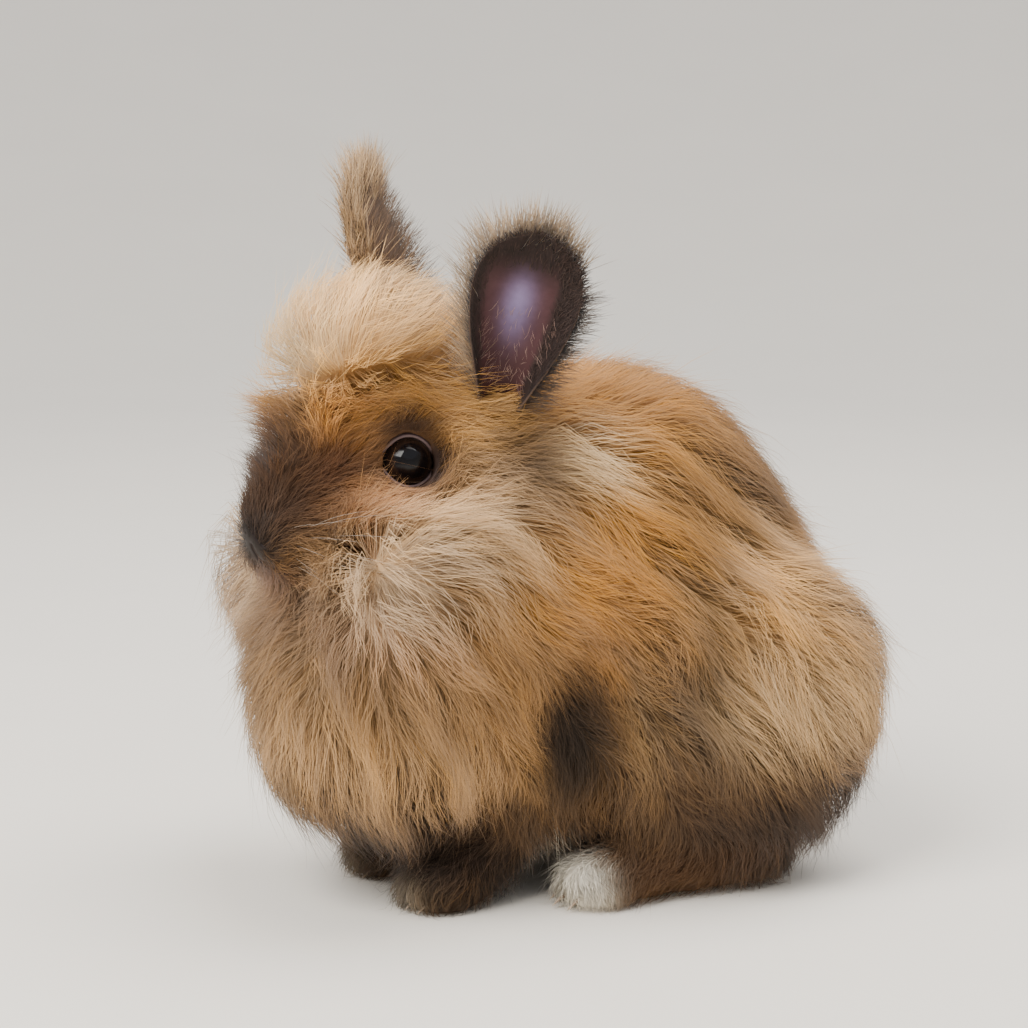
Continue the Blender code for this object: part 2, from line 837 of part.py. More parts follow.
def add_face(head):
    """Lids, nostrils, the cleft of the lip and the line of the mouth."""
    lid_thickness = 1.7
    for eye in EYES:
        combine(head, eye.ball(GAP / MM + lid_thickness), "UNION")
    for eye in EYES:
        combine(head, eye.opening(), "DIFFERENCE")
        combine(head, eye.ball(GAP / MM), "DIFFERENCE")
    slit(head, (43, 0, -20), (4.5, 0.6, 4.2), 0, 0)
    for side in (1, -1):
        slit(head, (43, side * 4.2, -14), (5, 1.1, 2.6), 0, side * 35)
        slit(head, (35, side * 5.5, -24), (8, 4.2, 0.7), 2, side * 28)
    return head


# Limbs and tail


def outside(*levels):
    """How far points are outside all of these levels: rows of form, share and room in millimetres."""
    return lambda points: np.min([form.height(points, share) - room * MM for form, share, room in levels], axis=0)


def hind_leg_form(side):
    foot = run((side * 42, 46, 10), (side * 40, -4, 7), 10, 7.5, 5)
    flesh = masses(body_mass, thigh(side)) + foot + toes(side * 40, -12, 6.5, 3, 4.6)
    return limb_form(flesh, masses(body_mass, thigh_coat(side)))


def tail_form():
    flesh = [body_mass((0, 78, 62), (9, 8, 15), -20), body_mass((0, 72, 50), (9, 9, 9))]
    return limb_form(flesh, [body_mass((0, 83, 62), (16, 13, 22), -20)])


def fore_leg(name, side):
    arm = run((side * 25, -16, 32), (side * 20, -38, 11), 9, 7.5, 4)
    paw = [body_mass((side * 20, -48, 8), (9, 13, 8))]
    flesh = arm + paw + toes(side * 20, -55, 6, 4, 4.0)
    return surface(name, limb_form(flesh, []), OUTLINE, 1.8, 330)[0]


# Putting the animal together


def centre_over_origin(nodes):
    """Sets the middle of the whole animal's length and width over the origin."""
    corners = np.array([v.co for obj in nodes for v in obj.data.vertices])
    middle = (corners.min(axis=0) + corners.max(axis=0)) / 2
    for obj in nodes:
        obj.data.transform(Matrix.Translation((-middle[0], -middle[1], 0)))


def finish(obj, paint):
    combine(obj, floor_block(), "DIFFERENCE")
    keep_largest(obj)
    obj.data.materials.clear()
    obj.data.materials.append(paint)
    obj.data.shade_smooth()


def least(*tests):
    return lambda points: np.min([test(points) for test in tests], axis=0)


def above_floor(points):
    return points[:, 2] - 2 * MM


def over(parting, form):
    """The space ahead of a parting, and the space that hangs over the core behind it."""

    def room(points):
        ahead = parting.ahead(points)
        over_core = form.height(points, CORE) - 0.8 * MM
        return np.minimum(np.maximum(ahead - 2 * MM, over_core), ahead + OVERHANG * MM)

    return room


def behind(parting):
    """The space behind a parting that no lock of the part ahead hangs over."""
    return lambda points: -parting.ahead(points) - (OVERHANG + 1) * MM


def beside_features(points):
    """Clear of the ears and of the hollows of the eyes."""
    kept_open = [ear.room() for ear in EARS] + masses(head_mass, BARE)
    return np.min([mass.distance(points) for mass in kept_open], axis=0)


def trunk_nodes(body, limbs, random):
    """Head, neck and torso: one core parted in three, each with its own locks."""
    head, fine_spots = surface("head", body, CORE, 2.2, 3200)
    neck, spots = surface("neck", body, CORE, 3.0, 1000)
    torso = swollen(neck, 0)
    torso.name = "torso"
    HEAD_PARTING.keep_ahead(head)
    MANE_PARTING.keep_ahead(HEAD_PARTING.keep_behind(neck))
    MANE_PARTING.keep_behind(HEAD_PARTING.keep_behind(torso))
    for _, hollow, _ in limbs:
        combine(torso, hollow, "DIFFERENCE")
    add_face(head)
    beside_limbs = outside(*[(form, 1.05, 1.0) for _, _, form in limbs])
    head_room = least(above_floor, over(HEAD_PARTING, body), beside_features)
    neck_room = least(above_floor, behind(HEAD_PARTING), over(MANE_PARTING, body), beside_limbs)
    torso_room = least(above_floor, behind(HEAD_PARTING), behind(MANE_PARTING), beside_limbs)
    fuse_locks(keep_largest(head), Coat(body, COMBS, head_room, 0.66, 1.08, FACE_LOCKS).locks(fine_spots, random))
    for obj, room in ((neck, neck_room), (torso, torso_room)):
        fuse_locks(keep_largest(obj), Coat(body, COMBS, room).locks(spots, random))
    return head, neck, torso


def limb_nodes(body, random):
    """Hind legs and tail: each with the hollow it needs in the torso, and its form."""
    legs = [hind_leg_form(1), hind_leg_form(-1)]
    scut = tail_form()
    made = []
    for name, form, side in (("hind_leg_left", legs[0], 1), ("hind_leg_right", legs[1], -1)):
        core, spots = surface(name, form, CORE, 3.0, 380)
        hollow = swollen(core)
        room = least(above_floor, outside((body, CORE, 1.5), (scut, 1.05, 1.0)))
        fuse_locks(core, Coat(form, thigh_combs(side), room, 0.95, HAUNCH_REACH).locks(spots, random))
        made.append((core, hollow, form))
    core, spots = surface("tail", scut, CORE, 2.4, 200)
    for _, hollow, _ in made:
        combine(core, swollen(hollow, 0), "DIFFERENCE")
    hollow = swollen(core)
    room = outside((body, CORE, 1.5), *[(leg, 1.05, 1.0) for leg in legs])
    fuse_locks(core, Coat(scut, TAIL_COMBS, room).locks(spots, random))
    return [*made, (core, hollow, scut)]


def main():
    clear_scene()
    random = np.random.default_rng(SEED)
    fawn = material("fawn_coat", (0.55, 0.34, 0.16), 0.9)
    cream = material("cream_coat", (0.66, 0.50, 0.33), 0.9)
    sooty = material("sooty_coat", (0.10, 0.07, 0.06), 0.9)
    glossy = material("eye", (0.01, 0.008, 0.008), 0.05)

    body = body_form()
    limbs = limb_nodes(body, random)
    head, neck, torso = trunk_nodes(body, limbs, random)
    ears = [build_ear(ear) for ear in EARS]
    for obj in ears:
        hull = swollen_hull(obj)
        combine(neck, swollen(hull, 0), "DIFFERENCE")
        combine(head, hull, "DIFFERENCE")
    for ear, obj in zip(EARS, ears):
        fuse_locks(obj, ear.fringe())

    fore_legs = [fore_leg("fore_leg_left", 1), fore_leg("fore_leg_right", -1)]
    for leg in fore_legs:
        combine(torso, swollen(leg), "DIFFERENCE")
        combine(neck, swollen(leg), "DIFFERENCE")
    eyes = []
    for eye in EYES:
        eyes.append(eye.ball())
        eyes[-1].name = eye.name

    *hind_legs, scut = [core for core, _, _ in limbs]
    painted = [(fawn, [neck, torso, *hind_legs]), (cream, [head, scut, *ears])]
    painted += [(sooty, fore_legs), (glossy, eyes)]
    for paint, nodes in painted:
        for obj in nodes:
            finish(obj, paint)
    centre_over_origin([obj for _, nodes in painted for obj in nodes])


if __name__ == "__main__":
    main()
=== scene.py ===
"""A lionhead rabbit that sits with its head turned a little to its left: skin, eyes, ears, claws and coat.

Places are written in millimetres in the rabbit's own frame: it faces -Y, its left side is +X, and it sits
on z = 0. Rounded masses give two heights at every point: how far it is outside the flesh, and how far it is
outside the outline of the coat. The skin is the surface where the first is zero. Every hair grows from the
skin towards the outline along the lie of the coat, and takes its colour from the markings, which carry some
painted light and shade, at the place that it reaches.
"""

import logging
import math
from dataclasses import dataclass, field
from enum import Enum
from typing import Callable, Sequence

import bmesh
import bpy
import numpy as np
from mathutils import Matrix, Vector
from mathutils.bvhtree import BVHTree
from mathutils.kdtree import KDTree


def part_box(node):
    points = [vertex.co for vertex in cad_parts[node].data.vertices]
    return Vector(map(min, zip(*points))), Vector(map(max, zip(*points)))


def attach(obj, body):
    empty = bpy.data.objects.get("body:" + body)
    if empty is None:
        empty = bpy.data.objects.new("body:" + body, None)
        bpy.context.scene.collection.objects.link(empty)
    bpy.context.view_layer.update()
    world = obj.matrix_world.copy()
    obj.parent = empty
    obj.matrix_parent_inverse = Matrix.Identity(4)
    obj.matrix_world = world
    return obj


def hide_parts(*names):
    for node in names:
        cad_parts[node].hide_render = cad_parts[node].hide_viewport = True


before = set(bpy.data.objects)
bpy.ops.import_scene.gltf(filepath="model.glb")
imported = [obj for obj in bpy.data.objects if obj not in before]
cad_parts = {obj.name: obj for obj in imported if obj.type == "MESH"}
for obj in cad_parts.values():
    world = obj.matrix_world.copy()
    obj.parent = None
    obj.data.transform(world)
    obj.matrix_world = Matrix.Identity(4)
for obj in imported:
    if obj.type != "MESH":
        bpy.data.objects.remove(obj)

log = logging.getLogger("rabbit")
MM = 0.001
SEED = 11
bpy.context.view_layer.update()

Array = np.ndarray
Point = tuple[float, float, float]
Colour = tuple[int, int, int]

HEAD_AT: Point = (0, -61.5, 129)
HEAD_TURN = math.radians(10)
HEAD_TILT = math.radians(5)
TRUNK_EASE, HEAD_EASE, COAT_EASE, LIMB_EASE = 8.0, 2.5, 4.0, 3.0
FACE_EASE, JOIN_EASE, SOCKET_EASE = 7.0, 2.0, 1.5
SHORT_COAT, LID_THINNING, FOOT_COAT, DEEPEST_COAT = 2.5, 1.6, 2.6, 13.0
EYE_AT: Point = (0.6, 15.5, 4.2)
PACKED_EYE_AT: Point = (1.5, 15.5, 6)
TOE_APART, TOE_FALL = 1.25, 0.35


class Slot(Enum):
    """The record's material slots."""

    FACE = "face_fur"
    MANE = "mane_fur"
    BODY = "body_fur"
    FOOT = "foot_fur"
    EAR = "ear_fur"
    EYE = "eye"


class Side(Enum):
    """The two sides of the animal, as the sign of x."""

    LEFT = 1
    RIGHT = -1

    @property
    def word(self) -> str:
        """The side's name as pieces use it."""
        return self.name.lower()


def mm(*values: float) -> Array:
    """Metres from millimetres."""
    return np.array(values, float) * MM


def unit(rows: Array) -> Array:
    """The rows scaled to length one."""
    return rows / np.maximum(np.linalg.norm(rows, axis=-1, keepdims=True), 1e-12)


def linear(colour: Colour) -> Array:
    """Linear red, green and blue of a colour given as 0 to 255."""
    share = np.array(colour, float) / 255
    return np.where(share <= 0.04045, share / 12.92, ((share + 0.055) / 1.055) ** 2.4)


def head_axes() -> Array:
    """Columns forward, left and up of the turned and tilted head."""
    turn = Matrix.Rotation(HEAD_TURN, 3, "Z")
    forward = turn @ Vector((0, -1, 0))
    left = Matrix.Rotation(HEAD_TILT, 3, forward) @ (turn @ Vector((1, 0, 0)))
    return np.array([forward, left, forward.cross(left)]).T


HEAD_AXES = head_axes()


def on_head(forward: float, left: float, up: float) -> Array:
    """The place, in metres, of millimetres along the head's own axes."""
    return mm(*HEAD_AT) + HEAD_AXES @ mm(forward, left, up)


def origin() -> Array:
    """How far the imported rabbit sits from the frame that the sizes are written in."""
    low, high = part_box("eye_left")
    return np.array((low + high) / 2) - on_head(*PACKED_EYE_AT)


ORIGIN = origin()


# Rounded masses


@dataclass(frozen=True)
class Mass:
    """An ellipsoid: its middle, its half sizes and its axes as columns."""

    middle: Array
    half: Array
    axes: Array

    def distance(self, points: Array) -> Array:
        """How far each point is outside, negative inside."""
        local = (points - self.middle) @ self.axes
        near = np.linalg.norm(local / self.half, axis=1)
        steep = np.linalg.norm(local / self.half**2, axis=1)
        return near * (near - 1) / np.maximum(steep, 1e-9)


def body_mass(middle: Point, half: Point, pitch: float = 0.0) -> Mass:
    """A mass in the rabbit's frame, its rear end raised by the pitch in degrees."""
    turn = np.array(Matrix.Rotation(math.radians(pitch), 3, "X"))
    return Mass(mm(*middle), mm(*half), turn)


def head_mass(middle: Point, half: Point, pitch: float = 0.0) -> Mass:
    """A mass along the head's own axes, its front end lowered by the pitch in degrees."""
    turn = np.array(Matrix.Rotation(math.radians(pitch), 3, Vector(HEAD_AXES[:, 1])))
    return Mass(on_head(*middle), mm(*half), turn @ HEAD_AXES)


def beside(place: Point, side: Side) -> Point:
    """A place of the left side, moved to the side that is asked for."""
    return side.value * place[0], *place[1:]


def opposite(place: Point, axis: int) -> Point:
    """A place with one of its numbers negated."""
    return tuple(-v if i == axis else v for i, v in enumerate(place))


def mirrored(rows: dict[str, tuple], axis: int) -> dict[str, tuple]:
    """The named rows, and the same rows on the other side of the middle plane.

    Args:
        rows: Rows that begin with a place.
        axis: Which number of the place changes sign.

    Returns:
        Twice as many rows.
    """
    made = {}
    for name, (middle, *rest) in rows.items():
        made[name + " left"] = (middle, *rest)
        made[name + " right"] = (opposite(middle, axis), *rest)
    return made


@dataclass(frozen=True)
class Run:
    """A tapering run of round masses, in millimetres."""

    start: Point
    end: Point
    radii: tuple[float, float]
    steps: int

    def masses(self, side: Side = Side.LEFT) -> list[Mass]:
        """The masses in order, on the side that is asked for."""
        made = []
        for share in np.linspace(0, 1, self.steps):
            middle = tuple(a + (b - a) * share for a, b in zip(self.start, self.end))
            radius = self.radii[0] + (self.radii[1] - self.radii[0]) * share
            made.append(body_mass(beside(middle, side), (radius, radius, radius)))
        return made


@dataclass(frozen=True)
class Toes:
    """The toes of one foot, side by side, the middle ones longest, in millimetres."""

    place: Point
    count: int
    radius: float

    def masses(self, side: Side) -> list[Mass]:
        """One mass for each toe, on the side that is asked for."""
        across, forward, height = beside(self.place, side)
        made = []
        for toe in range(self.count):
            offset = (toe - (self.count - 1) / 2) * self.radius * TOE_APART
            middle = (across + offset, forward + abs(offset) * TOE_FALL, height)
            made.append(body_mass(middle, (self.radius, self.radius * 1.7, self.radius)))
        return made


TRUNK = {
    "ribcage": ((0, -12, 80), (42, 44, 46)),
    "back": ((0, 22, 97), (42, 44, 46)),
    "croup": ((0, 46, 68), (44, 36, 48)),
    "belly": ((0, 8, 46), (44, 56, 34)),
    "breast": ((0, -38, 70), (36, 28, 42)),
    "withers": ((0, -30, 110), (27, 28, 32)),
}
NECK = Run((0, -36, 112), (1, -50, 124), (26, 24), 3)

SKULL = {
    "cranium": ((-12, 0, 8), (27, 22, 23)),
    "brow": ((6, 0, 9), (23, 17, 16)),
    "nose bridge": ((22, 0, -1), (20, 9.5, 12), 25),
    "muzzle": ((27, 0, -11), (15, 11, 10)),
    "nose": ((36, 0, -13), (7.5, 6, 6.5)),
    "chin": ((24, 0, -26), (10, 7, 5)),
    "jaw": ((4, 0, -18), (22, 13, 12)),
    **mirrored({
        "whisker pad": ((33, 6, -18), (8, 6.5, 7)),
        "cheek": ((-4, 13, -9), (19, 11, 17)),
        "eye socket": ((2, 13, 6), (12, 6, 11)),
    }, 1),
}

COAT = {
    "back": ((0, 18, 103), (56, 53, 57)),
    "croup": ((0, 46, 74), (54, 43, 50)),
    "belly": ((0, 4, 56), (54, 56, 50)),
    "mane": ((0, -46, 104), (56, 42, 48)),
    "nape": ((0, -14, 124), (44, 34, 38)),
    "bib": ((0, -62, 65), (53, 43, 52)),
    "left ruff": ((36, -67, 95), (30, 28, 38)),
    "right ruff": ((-46, -70, 106), (33, 31, 44)),
    "crown": ((-4, -61, 157), (37, 40, 35)),
}

FACE_COAT = {
    "blaze": ((25, 0, 8), (18, 12, 13)),
    "chin tuft": ((20, 0, -26), (14, 12, 9)),
}
BARE = mirrored({"eye": ((6, 45, 9), (16, 31, 13))}, 1)

THIGH = {
    "thigh": ((40, 46, 52), (22, 34, 40), -12),
    "knee": ((40, 24, 34), (18, 26, 24)),
    "buttock": ((34, 60, 56), (22, 24, 32)),
}
THIGH_COAT = {
    "haunch": ((44, 47, 63), (32, 43, 42)),
    "breeches": ((45, 45, 32), (25, 33, 27)),
}
HIND_FOOT, HIND_TOES = Run((42, 46, 10), (40, -4, 7), (9.5, 7), 5), Toes((40, -11, 6), 3, 4.2)
ARM, FORE_TOES = Run((25, -16, 32), (20, -38, 11), (9, 7.5), 4), Toes((20, -54, 5.5), 4, 3.7)
PAW = {"paw": ((20, -48, 8), (8.5, 12, 7.5))}
TAIL = [body_mass((0, 78, 62), (9, 8, 15), -20), body_mass((0, 72, 50), (9, 9, 9))]
TAIL_COAT = [body_mass((0, 80, 62), (16, 12, 21), -20)]


def masses(make: Callable[..., Mass], rows: dict[str, tuple]) -> list[Mass]:
    """The masses of a table's rows."""
    return [make(*row) for row in rows.values()]


def on_side(rows: dict[str, tuple], side: Side) -> dict[str, tuple]:
    """The rows of the left side, moved to the side that is asked for."""
    return {name: (beside(row[0], side), *row[1:]) for name, row in rows.items()}


def soft_min(distances: Array, ease: float) -> Array:
    """The least of each column, rounded where rows differ by less than the ease in millimetres."""
    nearest = distances.min(axis=0)
    return nearest - ease * MM * np.log(np.exp((nearest - distances) / (ease * MM)).sum(axis=0))


def blend(points: Array, parts: list[Mass], ease: float) -> Array:
    """How far points are outside several masses that run into each other."""
    return soft_min(np.array([part.distance(points) for part in parts]), ease)


@dataclass(frozen=True)
class Limb:
    """The masses of one leg or of the tail, and those of the long coat that it carries."""

    flesh: list[Mass]
    coat: list[Mass]

    def heights(self, points: Array) -> tuple[Array, Array]:
        """How far the points are outside the limb's flesh and outside its coat."""
        flesh = blend(points, self.flesh, LIMB_EASE)
        short = flesh - FOOT_COAT * MM
        if not self.coat:
            return flesh, short
        return flesh, soft_min(np.array([blend(points, self.coat, COAT_EASE), short]), JOIN_EASE)


@dataclass(frozen=True)
class Eye:
    """An eyeball and its almond opening, on one side of the head, in millimetres."""

    side: Side
    radius: float = 8.2
    almond: tuple[float, float] = (7.3, 6.9)

    @property
    def middle(self) -> Array:
        """The eyeball's middle."""
        forward, left, up = EYE_AT
        return on_head(forward, self.side.value * left, up)

    @property
    def axes(self) -> Array:
        """Columns: the way the eye looks, the way its opening runs, and the way across it."""
        look = Vector(HEAD_AXES @ (0.26, self.side.value * 0.96, 0.10)).normalized()
        across = look.cross(Vector(HEAD_AXES @ (1.0, 0.0, 0.15))).normalized()
        return np.array([look, across.cross(look), across]).T

    def hollow(self) -> Mass:
        """The shallow bowl in the head that the eye stands in."""
        return Mass(self.middle + self.axes[:, 0] * 11.6 * MM, mm(9, 15, 14), self.axes)

    def opening(self) -> Mass:
        """The space in front of the ball that the skin leaves open, under the lids."""
        return Mass(self.middle + self.axes[:, 0] * 14 * MM, mm(14, 8.2, 7.8), self.axes)

    def nearness(self, points: Array) -> Array:
        """From 1 beside the lids to 0 further off, for points on the eye's side of the head."""
        local = (points - self.middle) @ self.axes / MM
        beside = np.hypot(local[:, 1], local[:, 2])
        return np.exp(-((np.maximum(beside - 8, 0) / 4.5) ** 2)) * (local[:, 0] > -3)


EYES = [Eye(Side.LEFT), Eye(Side.RIGHT)]


@dataclass
class Animal:
    """The flesh of the whole rabbit and the outline of its coat."""

    trunk: list[Mass] = field(default_factory=list)
    skull: list[Mass] = field(default_factory=list)
    outline: list[Mass] = field(default_factory=list)
    parted: list[Mass] = field(default_factory=list)
    limbs: list[Limb] = field(default_factory=list)

    def __post_init__(self) -> None:
        """Fills the lists from the named tables."""
        self.trunk = masses(body_mass, TRUNK) + NECK.masses()
        self.skull = masses(head_mass, SKULL)
        self.outline = masses(body_mass, COAT) + masses(head_mass, FACE_COAT)
        self.parted = masses(head_mass, BARE)
        for side in Side:
            thigh, haunch, paw = (masses(body_mass, on_side(rows, side)) for rows in (THIGH, THIGH_COAT, PAW))
            self.limbs.append(Limb(thigh + HIND_FOOT.masses(side) + HIND_TOES.masses(side), haunch))
            self.limbs.append(Limb(ARM.masses(side) + paw + FORE_TOES.masses(side), []))
        self.limbs.append(Limb(TAIL, TAIL_COAT))

    def heights(self, points: Array) -> Array:
        """How far each point is outside the flesh and outside the coat, as two columns."""
        trunk = blend(points, self.trunk, TRUNK_EASE)
        skull = blend(points, self.skull, HEAD_EASE)
        long_coat = blend(points, self.outline, COAT_EASE)
        open_face = blend(points, self.parted, COAT_EASE)
        combed = -soft_min(np.array([-long_coat, open_face]), FACE_EASE)
        flesh = soft_min(np.array([trunk, skull, combed + DEEPEST_COAT * MM]), HEAD_EASE)
        flesh = -soft_min(np.array([-flesh, *[eye.hollow().distance(points) for eye in EYES]]), SOCKET_EASE)
        short = SHORT_COAT - LID_THINNING * sum(eye.nearness(points) for eye in EYES)
        coats, fleshes = [combed, flesh - short * MM], [flesh]
        for limb in self.limbs:
            limb_flesh, limb_coat = limb.heights(points)
            fleshes.append(limb_flesh)
            coats.append(limb_coat)
        return np.stack([soft_min(np.array(rows), JOIN_EASE) for rows in (fleshes, coats)], axis=1)


@dataclass
class Volume:
    """The animal's two heights, read from a grid of samples."""

    animal: Animal
    cell: float = 2.0
    low: Point = (-88, -128, -12)
    high: Point = (88, 116, 212)
    probe: float = 1.2
    stride: float = 3.0
    counts: Array = field(init=False)
    table: Array = field(init=False)

    def __post_init__(self) -> None:
        """Samples the animal over the grid, a slab at a time."""
        lines = [np.arange(a, b + self.cell, self.cell) * MM for a, b in zip(self.low, self.high)]
        self.counts = np.array([len(line) for line in lines])
        slabs = []
        for x in lines[0]:
            slab = np.stack(np.meshgrid([x], lines[1], lines[2], indexing="ij"), axis=-1).reshape(-1, 3)
            slabs.append(self.animal.heights(slab).astype(np.float32))
        self.table = np.concatenate(slabs)

    def heights(self, points: Array) -> Array:
        """The two heights at each point, between the samples round it."""
        place = (points - mm(*self.low)) / (self.cell * MM)
        base = np.clip(np.floor(place).astype(int), 0, self.counts - 2)
        part = np.clip(place - base, 0, 1)
        total = np.zeros((len(points), 2))
        for corner in np.ndindex(2, 2, 2):
            index = base + corner
            flat = (index[:, 0] * self.counts[1] + index[:, 1]) * self.counts[2] + index[:, 2]
            weight = np.prod(np.where(corner, part, 1 - part), axis=1)
            total += self.table[flat] * weight[:, None]
        return total

    def depth(self, points: Array) -> Array:
        """The coat's depth at points on or in it."""
        heights = self.heights(points)
        return heights[:, 0] - heights[:, 1]

    def level(self, points: Array, share: Array) -> Array:
        """How far the points are outside the level at their share of the coat's depth."""
        heights = self.heights(points)
        return (1 - share) * heights[:, 0] + share * heights[:, 1]

    def settle(self, points: Array, share: Array, rounds: int = 3) -> tuple[Array, Array]:
        """Moves points onto a level of the coat.

        Args:
            points: The points in metres.
            share: For each point, 0 for the skin and 1 for the outline.
            rounds: How many steps they take.

        Returns:
            The moved points, and the level's normals there.
        """
        step, most = self.probe * MM, self.stride * MM
        for _ in range(rounds):
            height = self.level(points, share)
            ahead, behind = (
                np.stack([self.level(points + sign * step * way, share) for way in np.eye(3)], axis=1)
                for sign in (1, -1)
            )
            rise = (ahead - behind) / (2 * step)
            steep = np.maximum((rise**2).sum(axis=1, keepdims=True), 0.2)
            points = points - np.clip(height[:, None] * rise / steep, -most, most)
        return points, unit(rise)


# Markings, with some painted light and shade


@dataclass(frozen=True)
class Mark:
    """A soft-edged patch of colour, in the rabbit's frame or along the head's axes, in millimetres."""

    place: Point
    half: Point
    colour: Colour
    strength: float = 0.9
    edge: float = 0.16
    head: bool = False
    both: bool = True

    def masses(self) -> list[Mass]:
        """The patch, and its mirror image where it has one."""
        make, axis = (head_mass, 1) if self.head else (body_mass, 0)
        places = [self.place]
        if self.both and self.place[axis]:
            places.append(opposite(self.place, axis))
        return [make(place, self.half) for place in places]

    def lay(self, points: Array, colours: Array) -> Array:
        """The colours with this patch laid over them."""
        for mass in self.masses():
            near = np.linalg.norm((points - mass.middle) @ mass.axes / mass.half, axis=1)
            cover = self.strength / (1 + np.exp(np.clip((near - 1) / self.edge, -40, 40)))
            colours = colours + (linear(self.colour) - colours) * cover[:, None]
        return colours


# Besides the coat's own colours, these marks carry some painted light and shade.
BASE_COLOUR: Colour = (169, 127, 79)
BODY_MARKS = [
    Mark((0, 30, 165), (60, 70, 34), (188, 130, 62)),
    Mark((48, 56, 112), (20, 22, 20), (84, 62, 40), 0.7, 0.25),
    Mark((50, -7, 104), (20, 26, 22), (204, 144, 70), 0.8, 0.25),
    Mark((44, -8, 134), (16, 13, 13), (228, 196, 151), 0.85, 0.2),
    Mark((48, -26, 118), (12, 12, 14), (136, 110, 86), 0.7, 0.25),
    Mark((0, -86, 70), (62, 34, 34), (150, 120, 86), 0.85, 0.2),
    Mark((0, -80, 38), (62, 44, 20), (224, 178, 122), 0.8, 0.25),
    Mark((0, -70, 20), (60, 48, 16), (68, 59, 58), 0.85, 0.25),
    Mark((56, -84, 90), (22, 20, 13), (217, 175, 142), 0.7, 0.25),
    Mark((0, -98, 92), (44, 16, 13), (116, 92, 74), 0.7, 0.25),
    Mark((51, 0, 79), (16, 22, 18), (185, 133, 79), 0.7, 0.25),
    Mark((56, 14, 50), (24, 26, 24), (50, 37, 32), 0.85, 0.25),
    # Painted shade under the belly, near the floor.
    Mark((0, 10, 18), (66, 70, 20), (36, 29, 28), 0.85, 0.2),
    Mark((54, 1, 55), (9, 6, 20), (141, 113, 79), 0.75, 0.3),
    # Painted shadow in the gap behind the elbow, between the chest ruff and the flank.
    Mark((50, -20, 50), (17, 13, 24), (20, 17, 18), 0.95, 0.16),
    Mark((68, 56, 82), (34, 42, 34), (212, 166, 110), 0.9, 0.14),
    Mark((74, 48, 54), (24, 36, 16), (206, 171, 126), 0.85, 0.2),
    # Painted shade in the crease where the haunch meets the flank.
    Mark((60, 20, 74), (12, 9, 34), (68, 54, 42), 0.7, 0.3),
    Mark((56, 56, 20), (40, 44, 19), (38, 31, 31), 0.9, 0.18),
    Mark((0, 88, 96), (34, 20, 34), (186, 134, 82), 0.8, 0.2),
    Mark((0, 92, 62), (18, 18, 24), (150, 116, 84), 0.85, 0.2),
    Mark((46, 6, 8), (16, 56, 8), (90, 65, 45), 0.9, 0.2),
    Mark((40, -17, 5), (15, 12, 10), (246, 238, 220), 0.95, 0.12),
    Mark((20, -46, 6), (17, 30, 15), (22, 14, 12), 0.97, 0.14),
    Mark((24, -66, 2), (10, 6, 5), (161, 145, 122), 0.7, 0.25),
]
HEAD_MARKS = [
    Mark((10, 0, 14), (48, 50, 44), (132, 92, 54), 0.95, 0.12, True),
    Mark((4, 0, 56), (40, 42, 20), (246, 197, 134), 0.92, 0.2, True),
    Mark((24, 12, 42), (12, 14, 12), (199, 171, 130), 0.85, 0.25, True),
    # Bright brow patches: the coat's golden colour, partly raised as painted light over the shade at the
    # forelock's edge.
    Mark((18, 24, 28), (20, 14, 12), (247, 187, 108), 0.85, 0.25, True),
    Mark((22, 22, 20), (14, 12, 9), (209, 150, 90), 0.8, 0.25, True),
    Mark((-20, 36, 18), (18, 14, 14), (243, 184, 106), 0.8, 0.25, True),
    Mark((-28, 44, 4), (14, 16, 18), (58, 48, 42), 0.85, 0.25, True),
    Mark((14, 50, -20), (38, 28, 20), (230, 190, 142), 0.92, 0.16, True),
    Mark((28, 46, -34), (22, 20, 12), (200, 170, 136), 0.85, 0.2, True),
    Mark((-8, 54, -10), (12, 12, 20), (186, 158, 125), 0.6, 0.3, True),
    Mark((36, 0, 14), (14, 14, 10), (57, 37, 25), 0.85, 0.2, True),
    Mark((34, 0, -6), (24, 23, 18), (48, 32, 24), 0.92, 0.16, True),
    Mark((22, 17, 8), (9, 9, 8), (88, 56, 38), 0.8, 0.25, True),
    Mark((12, 24, -7), (12, 12, 6), (186, 126, 79), 0.75, 0.25, True),
    Mark((43, 0, -15), (10, 11, 10), (24, 19, 18), 0.9, 0.2, True),
    Mark((36, 0, -27), (8, 9, 5), (124, 94, 82), 0.7, 0.25, True),
    Mark((4, 24, 16), (11, 9, 5), (65, 52, 48), 0.9, 0.2, True),
    Mark((-10, 24, 3), (13, 12, 7), (28, 24, 24), 0.9, 0.2, True),
    Mark((1, 22, 4), (10, 8, 9), (68, 52, 49), 0.8, 0.16, True),
]


def painted(points: Array) -> Array:
    """The coat's linear colour at each point, with the painted light and shade that some marks carry.

    Args:
        points: Points in metres in the rabbit's frame.

    Returns:
        One row of red, green and blue for each point.
    """
    colours = np.tile(linear(BASE_COLOUR), (len(points), 1))
    for mark in BODY_MARKS + HEAD_MARKS:
        colours = mark.lay(points, colours)
    return colours


# The lie of the coat


@dataclass(frozen=True)
class Comb:
    """How the coat lies at one place, in millimetres: its way, its hairs' length and the comb's reach."""

    place: Point
    lie: Point
    length: float
    reach: float = 24
    head: bool = False
    both: bool = True

    def rows(self) -> list[tuple[Array, Array, float, float]]:
        """Place, lie, length and reach in metres, for this comb and its mirror image."""
        axis = 1 if self.head else 0
        sides = [(self.place, self.lie)]
        if self.both and self.place[axis]:
            sides.append(tuple(opposite(row, axis) for row in sides[0]))
        made = []
        for place, lie in sides:
            where = on_head(*place) if self.head else mm(*place)
            way = HEAD_AXES @ np.array(lie, float) if self.head else np.array(lie, float)
            made.append((where, unit(way), self.length * MM, self.reach * MM))
        return made


